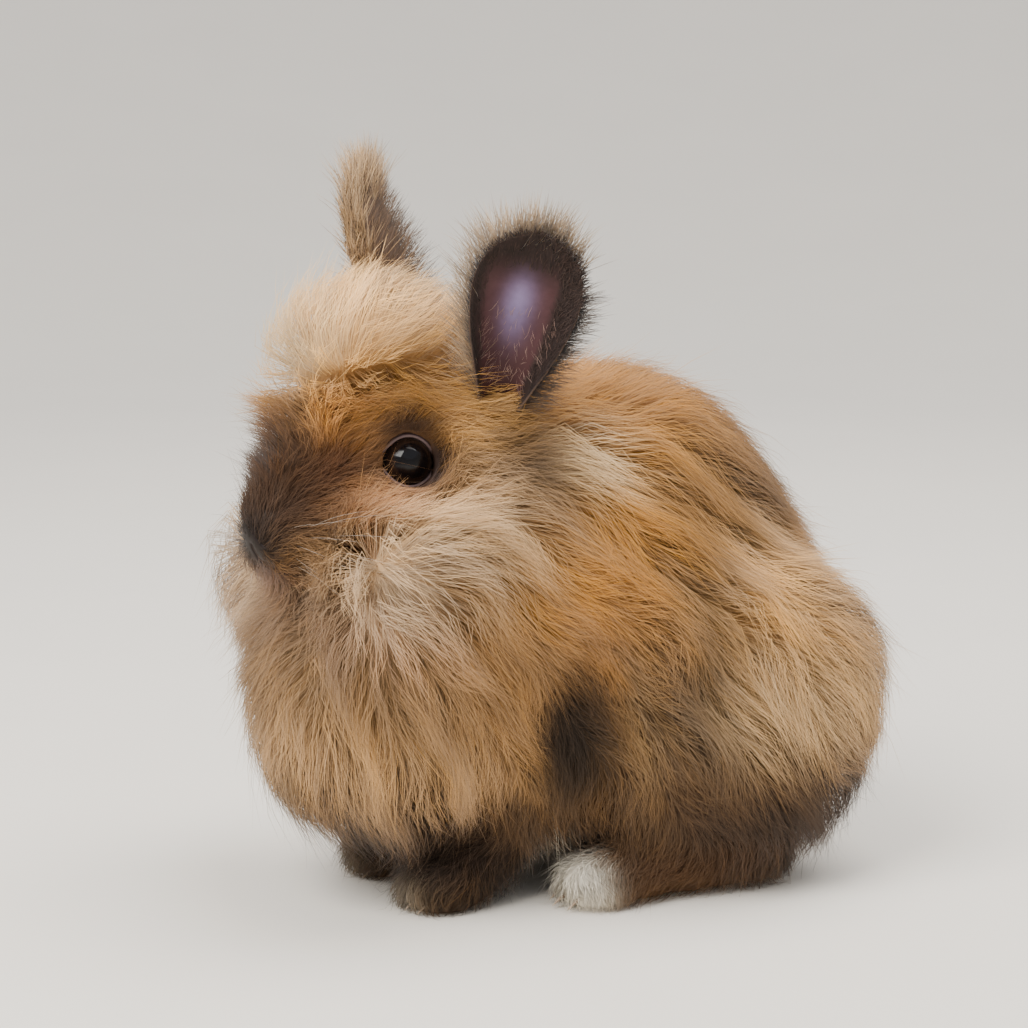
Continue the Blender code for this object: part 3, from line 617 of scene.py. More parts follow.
COMBS = [
    Comb((2, -96, 150), (0, 0.1, 1), 15),
    Comb((-4, -88, 170), (0, 0.1, 1), 20),
    Comb((-4, -58, 189), (0, 0.7, 0.7), 24),
    Comb((30, -62, 165), (0.5, 0.4, 0.8), 22),
    Comb((28, -36, 148), (0.3, 0.9, 0.1), 24),
    Comb((40, -88, 116), (0.7, 0.5, -0.5), 32),
    Comb((24, -96, 110), (0.8, 0.1, -0.5), 30),
    Comb((50, -86, 96), (0.3, 0.3, -0.9), 24),
    Comb((-62, -72, 128), (-0.35, 0.1, -0.93), 30, 20, both=False),
    Comb((62, -60, 110), (0.15, 0.75, -0.65), 26),
    Comb((4, -96, 92), (0, 0, -1), 22),
    Comb((0, -8, 160), (0, 1, -0.05), 30),
    Comb((40, -15, 140), (0.15, 0.85, -0.5), 30),
    Comb((62, -45, 105), (0.1, 0.55, -0.8), 32),
    Comb((0, -102, 64), (0, 0, -1), 34),
    Comb((44, -78, 60), (0.15, 0.25, -0.95), 34),
    Comb((0, -85, 28), (0, 0.3, -0.95), 28),
    Comb((38, -50, 30), (0.1, 0.35, -0.95), 26),
    Comb((0, 20, 160), (0, 1, 0), 32),
    Comb((0, 66, 134), (0, 0.65, -0.75), 32),
    Comb((0, 88, 90), (0, 0.15, -1), 28),
    Comb((50, 0, 110), (0.1, 0.8, -0.6), 34),
    Comb((54, 5, 70), (0.05, 0.6, -0.8), 34),
    Comb((50, -20, 40), (0, 0.3, -0.95), 30),
    Comb((48, 10, 20), (0, 0.5, -0.85), 22),
    Comb((44, 50, 120), (0.25, 0.7, -0.65), 32),
    Comb((60, 60, 104), (0.3, 0.75, -0.5), 30),
    Comb((76, 45, 68), (0.1, 0.6, -0.8), 32),
    Comb((62, 12, 60), (0.1, 0.35, -0.9), 28),
    Comb((48, 90, 58), (0, 0.3, -0.9), 28),
    Comb((58, 60, 25), (0, 0.3, -0.9), 22),
    Comb((0, 97, 62), (0, 0.3, 0.95), 20, 16),
    Comb((42, 10, 8), (0.1, -0.9, -0.2), 9, 14),
    Comb((20, -45, 12), (0, -0.8, -0.55), 10, 14),
    Comb((38, 0, -6), (-0.4, 0, 0.9), 4, 12, True),
    Comb((30, 10, 4), (-0.5, 0.4, 0.8), 5, 12, True),
    Comb((33, 14, -14), (-0.7, 0.7, 0.1), 6, 12, True),
    Comb((26, 14, -26), (-0.5, 0.6, -0.7), 12, 12, True),
    Comb((14, 16, -4), (-0.6, 0.7, -0.5), 10, 12, True),
    Comb((22, 32, -18), (-0.8, 0.5, -0.3), 28, 16, True),
    Comb((8, 42, -8), (-0.9, 0.35, -0.2), 28, 14, True),
    Comb((20, 12, 14), (-0.5, 0.4, 0.8), 8, 12, True),
    Comb((2, 20, 20), (-0.5, 0.4, 0.8), 8, 12, True),
    Comb((-12, 20, 6), (-1.0, 0.4, 0.0), 9, 12, True),
]


@dataclass
class Lie:
    """The way that the coat lies at any point, with a slow swirl that leaves partings."""

    swirl: float = 0.38
    waves: int = 9
    usual_reach: float = 24
    lid_turn: float = 0.9
    lid_ring: float = 7
    lid_fade: float = 5

    def __post_init__(self) -> None:
        """Gathers the combs and draws the waves of the swirl."""
        rows = [row for comb in COMBS for row in comb.rows()]
        self.places = np.array([row[0] for row in rows])
        self.ways = np.array([row[1] for row in rows])
        self.lengths = np.array([row[2] for row in rows])
        self.reaches = np.array([row[3] for row in rows])
        random = np.random.default_rng(SEED + 1)
        wavelength = random.uniform(12, 45, self.waves) * MM
        self.beats = unit(random.normal(size=(self.waves, 3))) * (2 * math.pi / wavelength)[:, None]
        self.phases = random.uniform(0, 2 * math.pi, self.waves)

    def at(self, points: Array, normals: Array) -> tuple[Array, Array]:
        """Reads the lie.

        Args:
            points: Points in the coat.
            normals: The normals of the level that each lies on.

        Returns:
            Unit ways along the level, and the length of the hairs.
        """
        apart = np.linalg.norm(points[:, None] - self.places[None], axis=2)
        weights = np.exp(-((apart / self.reaches) ** 2)) * (self.usual_reach * MM / self.reaches) ** 2
        weights += 1e-9 / (apart + MM)
        weights /= weights.sum(axis=1, keepdims=True)
        way, length = weights @ self.ways, weights @ self.lengths
        for eye in EYES:
            look = eye.axes[:, 0]
            apart = points - eye.middle
            aside = apart - (apart @ look)[:, None] * look
            away = np.linalg.norm(aside, axis=1)
            near = np.exp(-(((away - self.lid_ring * MM) / (self.lid_fade * MM)) ** 2))
            way = way + self.lid_turn * (near * (apart @ look > -2 * MM))[:, None] * unit(aside)
        way = unit(way - normals * (way * normals).sum(axis=1, keepdims=True))
        wave = np.sin(points @ self.beats.T + self.phases).sum(axis=1)
        angle = self.swirl * wave / math.sqrt(self.waves / 2)
        aside = np.cross(normals, way)
        return way * np.cos(angle)[:, None] + aside * np.sin(angle)[:, None], length


# Meshes


def mesh_object(name: str, points: Array, faces: Array) -> bpy.types.Object:
    """A smooth mesh object.

    Args:
        name: The piece's name.
        points: Its points in metres, in the rabbit's frame.
        faces: Rows of three or four point numbers.

    Returns:
        The object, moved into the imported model's frame.
    """
    mesh = bpy.data.meshes.new(name)
    mesh.vertices.add(len(points))
    mesh.vertices.foreach_set("co", (points + ORIGIN).astype(np.float32).ravel())
    mesh.loops.add(faces.size)
    mesh.loops.foreach_set("vertex_index", faces.astype(np.int32).ravel())
    mesh.polygons.add(len(faces))
    mesh.polygons.foreach_set("loop_start", np.arange(0, faces.size, faces.shape[1], dtype=np.int32))
    mesh.update(calc_edges=True)
    mesh.shade_smooth()
    made = bpy.data.objects.new(name, mesh)
    bpy.context.scene.collection.objects.link(made)
    return made


def colour_points(obj: bpy.types.Object, colours: Array) -> None:
    """Stores a linear colour at each point of a piece."""
    layer = obj.data.attributes.new("coat_colour", "FLOAT_COLOR", "POINT")
    rows = np.ones((len(colours), 4), np.float32)
    rows[:, :3] = colours
    layer.data.foreach_set("color", rows.ravel())


def mark_points(obj: bpy.types.Object, name: str, values: Array) -> None:
    """Stores three numbers at each point of a piece, for its material to read by name."""
    layer = obj.data.attributes.new(name, "FLOAT_VECTOR", "POINT")
    layer.data.foreach_set("vector", values.astype(np.float32).ravel())


def surface_net(
    height: Callable[[Array], Array], low: Array, high: Array, cell: float
) -> tuple[Array, Array]:
    """The surface where a height is zero.

    Args:
        height: Gives the height at points.
        low: The lowest corner of the space that is searched.
        high: Its highest corner.
        cell: The size of a grid cell in metres.

    Returns:
        Points, one in each cell that the surface passes, and faces of four point numbers.
    """
    counts = np.ceil((high - low) / cell).astype(int) + 1
    lines = [low[i] + cell * np.arange(counts[i]) for i in range(3)]
    value = np.concatenate([
        height(np.stack(np.meshgrid([x], lines[1], lines[2], indexing="ij"), axis=-1).reshape(-1, 3))
        for x in lines[0]
    ]).reshape(counts)
    cells = counts - 1
    total, hits, quads = np.zeros((*cells, 3)), np.zeros(cells), []
    for axis in range(3):
        before = np.take(value, np.arange(cells[axis]), axis)
        after = np.take(value, np.arange(1, counts[axis]), axis)
        edges = np.argwhere((before < 0) != (after < 0))
        first, second = before[tuple(edges.T)], after[tuple(edges.T)]
        place = edges.astype(float)
        place[:, axis] += first / (first - second)
        corners = []
        for across, along in ((0, 0), (-1, 0), (-1, -1), (0, -1)):
            around = edges.copy()
            around[:, (axis + 1) % 3] += across
            around[:, (axis + 2) % 3] += along
            np.add.at(total, tuple(around.T), place)
            np.add.at(hits, tuple(around.T), 1)
            corners.append(np.ravel_multi_index(tuple(around.T), cells))
        quad = np.stack(corners, axis=1)
        inward = second < first
        quad[inward] = quad[inward][:, ::-1]
        quads.append(quad)
    used = np.flatnonzero(hits)
    number = np.full(hits.size, -1)
    number[used] = np.arange(len(used))
    points = low + cell * total.reshape(-1, 3)[used] / hits.reshape(-1, 1)[used]
    return points, number[np.concatenate(quads)]


def place_piece(obj: bpy.types.Object, slot: Slot, finish: bpy.types.Material) -> bpy.types.Object:
    """Dresses a piece, sets it on the body and reports it.

    Args:
        obj: The piece.
        slot: Not used.
        finish: Its material.

    Returns:
        The same piece.
    """
    obj.data.materials.clear()
    obj.data.materials.append(finish)
    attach(obj, "root")
    log.info("%s: %d faces", obj.name, len(obj.data.polygons))
    return obj


# Finishes

GREY = (0.5, 0.5, 0.5, 1.0)


def feed(tree: bpy.types.NodeTree, node: bpy.types.Node, inputs: dict[str | int, object]) -> None:
    """Gives a node's inputs their values, or links them to the sockets that feed them.

    Args:
        tree: The tree that the node is in.
        node: The node.
        inputs: A value or a socket for each input, by name or number.
    """
    for name, value in inputs.items():
        if isinstance(value, bpy.types.NodeSocket):
            tree.links.new(value, node.inputs[name])
        else:
            node.inputs[name].default_value = value


def shader_node(
    tree: bpy.types.NodeTree, kind: str, inputs: dict[str | int, object] | None = None, **settings: object
) -> bpy.types.NodeOutputs:
    """A new node with its settings and what feeds it.

    Args:
        tree: The tree that it goes into.
        kind: The node's type.
        inputs: A value or a socket for each input that isn't left as it is.
        **settings: The node's own settings by name.

    Returns:
        The node's outputs.
    """
    made = tree.nodes.new(kind)
    for name, value in settings.items():
        setattr(made, name, value)
    feed(tree, made, inputs or {})
    return made.outputs


def new_group(name: str, inputs: dict[str, object], outputs: dict[str, str]) -> bpy.types.NodeTree:
    """An empty shader node group with its input and output nodes.

    Args:
        name: The group's name.
        inputs: Each input's value, a number or a colour.
        outputs: Each output's socket type.

    Returns:
        The group.
    """
    group = bpy.data.node_groups.new(name, "ShaderNodeTree")
    for label, value in inputs.items():
        kind = "NodeSocketFloat" if isinstance(value, float) else "NodeSocketColor"
        group.interface.new_socket(label, in_out="INPUT", socket_type=kind).default_value = value
    for label, kind in outputs.items():
        group.interface.new_socket(label, in_out="OUTPUT", socket_type=kind)
    group.nodes.new("NodeGroupInput")
    group.nodes.new("NodeGroupOutput")
    return group


def scaled(tree: bpy.types.NodeTree, value: object, low: float, high: float) -> bpy.types.NodeSocket:
    """A value from 0 to 1 stretched to a range."""
    span = {"Value": value, "To Min": low, "To Max": high}
    return shader_node(tree, "ShaderNodeMapRange", span, clamp=True)["Result"]


def maths(tree: bpy.types.NodeTree, operation: str, first: object, second: object) -> bpy.types.NodeSocket:
    """The result of a Math node for two sockets or numbers."""
    return shader_node(tree, "ShaderNodeMath", {0: first, 1: second}, operation=operation)[0]


def brightened(tree: bpy.types.NodeTree, colour: object, light: object) -> bpy.types.NodeSocket:
    """A colour multiplied by a light."""
    return shader_node(tree, "ShaderNodeVectorMath", {0: colour, "Scale": light}, operation="SCALE")[0]


def hair_shade_group() -> bpy.types.NodeTree:
    """A hair's colour, its root darker partly as painted shade, with streaks that set one lock off from the
    next.
    """
    values = {"Colour": GREY, "Along": 0.5, "Tone": 0.5, "Root": 0.6, "Tip": 1.2, "Streak": 0.3}
    group = new_group("hair_shade", values, {"Colour": "NodeSocketColor", "Roughness": "NodeSocketFloat"})
    given = group.nodes["Group Input"].outputs
    # Darker at the root: partly the hair's own banding, partly painted shade between the locks.
    span = {"Value": given["Along"], "To Min": given["Root"], "To Max": given["Tip"]}
    rise = shader_node(group, "ShaderNodeMapRange", span, interpolation_type="SMOOTHSTEP")["Result"]
    swing = maths(group, "SUBTRACT", given["Tone"], 0.5)
    streak = maths(group, "ADD", maths(group, "MULTIPLY", swing, given["Streak"]), 1.0)
    bright = brightened(group, given["Colour"], maths(group, "MULTIPLY", rise, streak))
    tint = {"Color": bright, "Saturation": scaled(group, given["Tone"], 0.86, 1.12)}
    colour = shader_node(group, "ShaderNodeHueSaturation", tint)["Color"]
    rough = scaled(group, given["Tone"], 0.78, 0.6)
    feed(group, group.nodes["Group Output"], {"Colour": colour, "Roughness": rough})
    return group


def fine_grain_group() -> bpy.types.NodeTree:
    """Pores and fine mottling over bare skin, horn and the ball of the eye."""
    results = {"Colour": "NodeSocketColor", "Height": "NodeSocketFloat", "Roughness": "NodeSocketFloat"}
    group = new_group("fine_grain", {"Colour": GREY, "Scale": 900.0, "Amount": 0.3}, results)
    given = group.nodes["Group Input"].outputs
    place = shader_node(group, "ShaderNodeTexCoord")["Object"]
    scales = ((given["Scale"], 4), (maths(group, "MULTIPLY", given["Scale"], 0.18), 2))
    fine, broad = (
        shader_node(group, "ShaderNodeTexNoise", {"Vector": place, "Scale": scale, "Detail": detail})["Fac"]
        for scale, detail in scales
    )
    swing = maths(group, "SUBTRACT", maths(group, "ADD", fine, broad), 1.0)
    light = maths(group, "ADD", maths(group, "MULTIPLY", swing, given["Amount"]), 1.0)
    colour, rough = brightened(group, given["Colour"], light), scaled(group, broad, 0.8, 0.45)
    feed(group, group.nodes["Group Output"], {"Colour": colour, "Height": fine, "Roughness": rough})
    return group


@dataclass
class Effects:
    """The node groups that the finishes share."""

    hair_shade: bpy.types.NodeTree = field(default_factory=hair_shade_group)
    fine_grain: bpy.types.NodeTree = field(default_factory=fine_grain_group)


def new_material(name: str) -> tuple[bpy.types.Material, bpy.types.NodeTree, bpy.types.Node]:
    """A new material, its node tree and its Principled shader."""
    made = bpy.data.materials.new(name)
    made.use_nodes = True
    return made, made.node_tree, made.node_tree.nodes["Principled BSDF"]


@dataclass(frozen=True)
class FurFinish:
    """Hair coloured by the markings, its root darker from banding and painted shade, its tip paler."""

    name: str
    root: float
    tip: float
    streak: float
    sheen: float = 0.1
    specular: float = 0.2

    def build(self, effects: Effects) -> bpy.types.Material:
        """The material, with the shared hair shading."""
        made, tree, shader = new_material(self.name)
        colour = shader_node(tree, "ShaderNodeAttribute", attribute_name="coat_colour")["Color"]
        hair = shader_node(tree, "ShaderNodeAttribute", attribute_name="hair")["Vector"]
        parts = shader_node(tree, "ShaderNodeSeparateXYZ", {0: hair})
        given = {"Colour": colour, "Along": parts["X"], "Tone": parts["Y"]}
        given |= {"Root": self.root, "Tip": self.tip, "Streak": self.streak}
        shade = shader_node(tree, "ShaderNodeGroup", given, node_tree=effects.hair_shade)
        feed(tree, shader, {
            "Base Color": shade["Colour"],
            "Roughness": shade["Roughness"],
            "Sheen Weight": self.sheen,
            "Sheen Roughness": 0.5,
            "Specular IOR Level": self.specular,
        })
        return made


@dataclass(frozen=True)
class SkinFinish:
    """Bare or thinly furred skin, coloured at its points, with pores."""

    name: str
    scale: float
    amount: float
    bump: float
    distance: float = 0.2
    coat: float = 0.0
    specular: float = 0.15

    def build(self, effects: Effects) -> bpy.types.Material:
        """The material, with the shared grain."""
        made, tree, shader = new_material(self.name)
        colour = shader_node(tree, "ShaderNodeAttribute", attribute_name="coat_colour")["Color"]
        given = {"Colour": colour, "Scale": self.scale, "Amount": self.amount}
        grain = shader_node(tree, "ShaderNodeGroup", given, node_tree=effects.fine_grain)
        relief = {"Strength": self.bump, "Distance": self.distance * MM, "Height": grain["Height"]}
        feed(tree, shader, {
            "Normal": shader_node(tree, "ShaderNodeBump", relief)["Normal"],
            "Base Color": grain["Colour"],
            "Roughness": grain["Roughness"],
            "Specular IOR Level": self.specular,
            "Coat Weight": self.coat,
            "Coat Roughness": 0.2,
        })
        return made


@dataclass(frozen=True)
class EyeFinish:
    """A wet, nearly black eye: pupil, dark brown iris and a darker rim, under a clear coat."""

    name: str = "eye_gloss"
    centre: Point = (0.003, 0.003, 0.004)
    border: Point = (0.02, 0.015, 0.014)
    rings: tuple[tuple[float, Point], ...] = (
        (0.40, (0.004, 0.003, 0.004)),
        (0.47, (0.022, 0.012, 0.008)),
        (0.62, (0.014, 0.008, 0.006)),
        (0.70, (0.004, 0.004, 0.005)),
    )

    def build(self, effects: Effects) -> bpy.types.Material:
        """The material; the rings follow the angle stored at the ball's points."""
        made, tree, shader = new_material(self.name)
        gaze = shader_node(tree, "ShaderNodeAttribute", attribute_name="gaze")["Vector"]
        ramp = tree.nodes.new("ShaderNodeValToRGB")
        stops = ramp.color_ramp.elements
        stops[0].color, stops[1].color = (*self.centre, 1), (*self.border, 1)
        for place, tint in self.rings:
            stops.new(place).color = (*tint, 1)
        feed(tree, ramp, {"Fac": shader_node(tree, "ShaderNodeSeparateXYZ", {0: gaze})["X"]})
        given = {"Colour": ramp.outputs["Color"], "Scale": 1400.0, "Amount": 0.8}
        grain = shader_node(tree, "ShaderNodeGroup", given, node_tree=effects.fine_grain)
        feed(tree, shader, {
            "Base Color": grain["Colour"],
            "Roughness": 0.06,
            "Specular IOR Level": 0.12,
            "Coat Weight": 0.2,
            "Coat Roughness": 0.02,
        })
        return made


@dataclass(frozen=True)
class FloorFinish:
    """The plain pale floor."""

    colour: Colour = (226, 220, 210)

    def build(self) -> bpy.types.Material:
        """The material."""
        made, tree, shader = new_material("studio_floor")
        share = shader_node(tree, "ShaderNodeTexNoise", {"Scale": 60.0})["Fac"]
        dark, pale = ((*(linear(self.colour) * light), 1.0) for light in (0.97, 1.02))
        tone = shader_node(tree, "ShaderNodeMix", {0: share, 6: dark, 7: pale}, data_type="RGBA")[2]
        feed(tree, shader, {"Base Color": tone, "Roughness": 0.9})
        return made


# Skin


@dataclass
class Skin:
    """The one skin over head, neck, trunk, tail and legs, with the sockets of the eyes."""

    volume: Volume
    cell: float = 1.3
    socket: float = 0.25
    exact: float = 3.5
    low: Point = (-72, -116, -8)
    high: Point = (72, 100, 196)
    points: Array = field(init=False)
    faces: Array = field(init=False)

    def __post_init__(self) -> None:
        """Finds the surface and keeps it for the coat to grow on."""
        self.points, self.faces = surface_net(self.height, mm(*self.low), mm(*self.high), self.cell * MM)
        self.points[:, 2] = np.maximum(self.points[:, 2], 0.05 * MM)

    def height(self, points: Array) -> Array:
        """How far points are outside the flesh, exact near it, with the sockets and the ears' roots."""
        rough = self.volume.heights(points)[:, 0]
        near = np.abs(rough) < self.exact * MM
        if near.any():
            exact = self.volume.animal.heights(points[near])[:, 0]
            for ear in EARS:
                root = Mass(mm(*ear.root), mm(9, 9, 8), np.eye(3)).distance(points[near])
                exact = soft_min(np.array([exact, root]), SOCKET_EASE)
            rough[near] = exact
        for eye in EYES:
            apart = np.linalg.norm(points - eye.middle, axis=1)
            rough = np.maximum(rough, (eye.radius + self.socket) * MM - apart)
            rough = np.maximum(rough, -eye.opening().distance(points))
        return rough

    def build(self, finish: bpy.types.Material) -> bpy.types.Object:
        """The dressed piece, in place of the solids of flesh."""
        skin = mesh_object("skin", self.points, self.faces)
        # The skin takes the coat's colours darkened, as painted shade deep in the fur.
        colour_points(skin, painted(self.points) * 0.7)
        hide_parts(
            "head", "neck", "torso", "tail", "hind_leg_left", "hind_leg_right", "fore_leg_left",
            "fore_leg_right"
        )
        return place_piece(skin, Slot.BODY, finish)


# Eyes


# The lids from the ball outwards: how far out of the opening, how far above the ball, and the colour
LID_RINGS = [
    (0.2, -0.2, (88, 68, 66)),
    (0.0, 0.3, (120, 102, 100)),
    (0.1, 0.6, (112, 94, 94)),
    (0.4, 0.85, (64, 50, 52)),
    (1.1, 1.0, (44, 36, 38)),
    (2.0, 0.95, (42, 35, 36)),
    (3.0, 0.6, (42, 35, 36)),
    (4.4, 0.0, (42, 35, 36)),
    (4.2, -0.8, (42, 35, 36)),
    (2.2, -0.2, (42, 35, 36)),
]


@dataclass
class EyeBuilder:
    """The ball of one eye and the lids round it."""

    eye: Eye
    cornea: float = 0.25
    rings: int = 40
    spokes: int = 64
    lid_spokes: int = 96

    def build_ball(self, finish: bpy.types.Material) -> bpy.types.Object:
        """The eyeball with a slightly raised cornea, in place of its solid."""
        eye = self.eye
        angles = np.linspace(0, math.pi, self.rings + 1)[1:-1]
        turns = np.linspace(0, 2 * math.pi, self.spokes, endpoint=False)
        angle, turn = np.meshgrid(angles, turns, indexing="ij")
        radius = (eye.radius + self.cornea * np.exp(-((angle / 0.55) ** 4))) * MM
        local = np.stack([np.cos(angle), np.sin(angle) * np.cos(turn), np.sin(angle) * np.sin(turn)], axis=-1)
        points = (local * radius[..., None]).reshape(-1, 3)
        front, back = (eye.radius + self.cornea) * MM, -eye.radius * MM
        points = np.concatenate([points, [(front, 0, 0)], [(back, 0, 0)]])
        gaze = np.concatenate([np.repeat(angles / (math.pi / 2), self.spokes), [0.0, 2.0]])
        faces = []
        last, count = len(points), self.spokes
        for ring in range(len(angles) - 1):
            for spoke in range(count):
                a, b = ring * count + spoke, ring * count + (spoke + 1) % count
                faces += [(a, a + count, b + count), (a, b + count, b)]
        end = (len(angles) - 1) * count
        for spoke in range(count):
            faces.append((last - 2, spoke, (spoke + 1) % count))
            faces.append((last - 1, end + (spoke + 1) % count, end + spoke))
        ball = mesh_object(f"eyeball_{eye.side.word}", eye.middle + points @ eye.axes.T, np.array(faces))
        mark_points(ball, "gaze", np.stack([gaze, gaze, gaze], axis=1))
        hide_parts(f"eye_{eye.side.word}")
        return place_piece(ball, Slot.EYE, finish)

    def build_lids(self, finish: bpy.types.Material) -> bpy.types.Object:
        """The lids: a moist pale rim on the ball that widens into dark skin and sinks into the head."""
        eye = self.eye
        turns = np.linspace(0, 2 * math.pi, self.lid_spokes, endpoint=False)
        long, high = eye.almond
        corner = 1 + 0.16 * np.maximum(-np.cos(turns), 0) ** 6 + 0.1 * np.maximum(np.cos(turns), 0) ** 8
        x, y = long * corner * np.cos(turns), high * np.sin(turns) * (1 - 0.06 * np.cos(turns) ** 2)
        size = np.hypot(x, y)
        points, colours = [], []
        for out, rise, tint in LID_RINGS:
            reach = np.arcsin(np.clip(size / eye.radius, 0, 0.985)) + out / eye.radius
            radius = (eye.radius + rise) * MM
            local = np.stack([np.cos(reach), np.sin(reach) * x / size, np.sin(reach) * y / size], axis=1)
            points.append(eye.middle + (local * radius) @ eye.axes.T)
            colours.append(np.tile(linear(tint), (len(turns), 1)))
        count, faces = len(turns), []
        for ring in range(len(LID_RINGS)):
            low, high = ring * count, (ring + 1) % len(LID_RINGS) * count
            for spoke in range(count):
                side = (spoke + 1) % count
                faces.append((low + spoke, low + side, high + side, high + spoke))
        lids = mesh_object(f"eyelids_{eye.side.word}", np.concatenate(points), np.array(faces)[:, ::-1])
        colour_points(lids, np.concatenate(colours))
        return place_piece(lids, Slot.FACE, finish)


# Nose


@dataclass
class Nose:
    """The end of the muzzle: nostrils, the cleft of the lip and the line of the mouth."""

    volume: Volume
    cell: float = 0.45
    lift: float = 0.35
    crease: float = 0.35
    dark: Colour = (30, 21, 21)

    def slits(self) -> list[Mass]:
        """The hollows cut into the nose."""
        made = [head_mass((43, 0, -20), (4.5, 0.6, 4.2))]
        for side in Side:
            made.append(self.turned((43, side.value * 4.2, -14), (5, 1.1, 2.6), 0, side.value * 35))
            made.append(self.turned((35, side.value * 5.5, -24), (8, 4.2, 0.7), 2, side.value * 28))
        return made

    def turned(self, middle: Point, half: Point, axis: int, degrees: float) -> Mass:
        """A hollow turned about one of the head's axes.

        Args:
            middle: Its middle along the head's axes.
            half: Its half sizes.
            axis: Which of the head's axes it turns about.
            degrees: How far it turns.

        Returns:
            The hollow as a mass.
        """
        turn = np.array(Matrix.Rotation(math.radians(degrees), 3, Vector(HEAD_AXES[:, axis])))
        return Mass(on_head(*middle), mm(*half), turn @ HEAD_AXES)

    def height(self, points: Array) -> Array:
        """How far points are outside the nose, whose border sinks under the skin."""
        window = head_mass((37, 0, -17), (13, 13, 13))
        flesh = self.volume.animal.heights(points)[:, 0]
        fade = np.clip(-window.distance(points) / (4 * MM), -1, 1)
        body = np.maximum(flesh - self.lift * MM * fade, window.distance(points))
        for slit in self.slits():
            body = -soft_min(np.array([-body, slit.distance(points)]), self.crease)
        return body

    def build(self, finish: bpy.types.Material) -> bpy.types.Object:
        """The dressed piece."""
        middle, reach = on_head(38, 0, -17), mm(15, 14, 15)
        points, faces = surface_net(self.height, middle - reach, middle + reach, self.cell * MM)
        nose = mesh_object("nose", points, faces)
        hollow = np.min([slit.distance(points) for slit in self.slits()], axis=0) / MM
        shade = np.clip(hollow / 1.4, 0, 1)[:, None]
        colour_points(nose, linear(self.dark) * (1 - shade) + painted(points) * 0.5 * shade)
        return place_piece(nose, Slot.FACE, finish)


# Hair


class Layer(Enum):
    """The kinds of hair in the coat: their share, and their sizes against the lock that they grow in."""

    WOOL = (0.26, 0.55, 0.85, 1.10, 0.10)
    GUARD = (0.61, 0.80, 1.06, 1.00, 0.12)
    WISP = (0.13, 1.00, 1.30, 0.60, 0.26)

    @property
    def share(self) -> float:
        """The share of all hairs."""
        return self.value[0]

    @property
    def lengths(self) -> tuple[float, float]:
        """The least and the greatest length."""
        return self.value[1], self.value[2]

    @property
    def width(self) -> float:
        """The width against that of the lock's hairs."""
        return self.value[3]

    @property
    def stray(self) -> float:
        """How far the tip strays, as a share of the length."""
        return self.value[4]


BAKE_PATCH = 0.003
# How much a hair is shaded by its own roundness, where the form of the coat counts as one
OWN_SHADING = 0.6
HAIR_CORNERS = (0.5, 2.6, 4.7)


@dataclass
class Hairs:
    """Hairs as centre lines, all with the same number of stations."""

    lines: Array
    sides: Array
    outward: Array
    widths: Array
    colours: Array
    tones: Array
    patches: Array

    def corners(self) -> tuple[Array, Array, Array]:
        """Three corners at each station but the tip.

        Returns:
            The points of every hair, their shading normals, and how far along the hair each one is.
        """
        count, stations = self.lines.shape[:2]
        rings = stations - 1
        share = np.linspace(0, 1, stations)
        ahead = unit(np.gradient(self.lines, axis=1))
        side = unit(np.cross(ahead, self.sides[:, None]))
        up = np.cross(side, ahead)
        taper = 0.75 + 0.5 * share[:rings] - 0.85 * share[:rings] ** 2
        half = self.widths[:, None, None] / 2 * taper[None, :, None]
        sides, ups = half * side[:, :rings], half * up[:, :rings] * 0.8
        turned = np.stack([sides * math.cos(a) + ups * math.sin(a) for a in HAIR_CORNERS], axis=2)
        points = (self.lines[:, :rings, None] + turned).reshape(count, rings * 3, 3)
        normals = unit(turned).reshape(count, rings * 3, 3)
        normals = np.concatenate([normals, ahead[:, -1:]], axis=1) * OWN_SHADING + self.outward[:, None]
        along = np.concatenate([np.repeat(share[:rings], 3), [1.0]])
        return np.concatenate([points, self.lines[:, -1:]], axis=1), unit(normals), along

    def faces(self) -> Array:
        """The triangles of one hair: its root, its sides and its tip."""
        rings = self.lines.shape[1] - 1
        last = rings * 3
        made = [(0, 2, 1)]
        for ring in range(0, last - 3, 3):
            for j in range(3):
                a, b = ring + j, ring + (j + 1) % 3
                made += [(a, b, b + 3), (a, b + 3, a + 3)]
        made += [(last - 3 + j, last - 3 + (j + 1) % 3, last) for j in range(3)]
        return np.array(made)[:, ::-1]


def hair_piece(name: str, groups: Sequence[Hairs]) -> bpy.types.Object:
    """One piece of three-sided tapering hairs.

    Args:
        name: The piece's name.
        groups: The hairs, in groups with their own number of stations.

    Returns:
        The piece, with its colours, its shading values and its bake map.
    """
    points, faces, facing, colours, values, layout, start = [], [], [], [], [], [], 0
    for hairs in groups:
        corners, normals, along = hairs.corners()
        count, size = corners.shape[:2]
        local = hairs.faces()
        faces.append((local[None] + (start + np.arange(count) * size)[:, None, None]).reshape(-1, 3))
        points.append(corners.reshape(-1, 3))
        facing.append(normals.reshape(-1, 3))
        colours.append(np.repeat(hairs.colours, size, axis=0))
        shading = np.zeros((count, size, 3))
        shading[:, :, 0] = along
        shading[:, :, 1] = hairs.tones[:, None]
        values.append(shading.reshape(-1, 3))
        around = np.concatenate([np.tile([0.0, 0.5, 1.0], size // 3), [0.5]])
        patch = np.stack([around, along], axis=1) * BAKE_PATCH
        layout.append((hairs.patches[:, None, None] + patch[local][None]).reshape(-1, 2))
        start += count * size
    obj = mesh_object(name, np.concatenate(points), np.concatenate(faces))
    obj.data.normals_split_custom_set_from_vertices(np.concatenate(facing))
    colour_points(obj, np.concatenate(colours))
    mark_points(obj, "hair", np.concatenate(values))
    layer = obj.data.uv_layers.new(name="OFBake")
    layer.data.foreach_set("uv", np.concatenate(layout).astype(np.float32).ravel())
    return obj


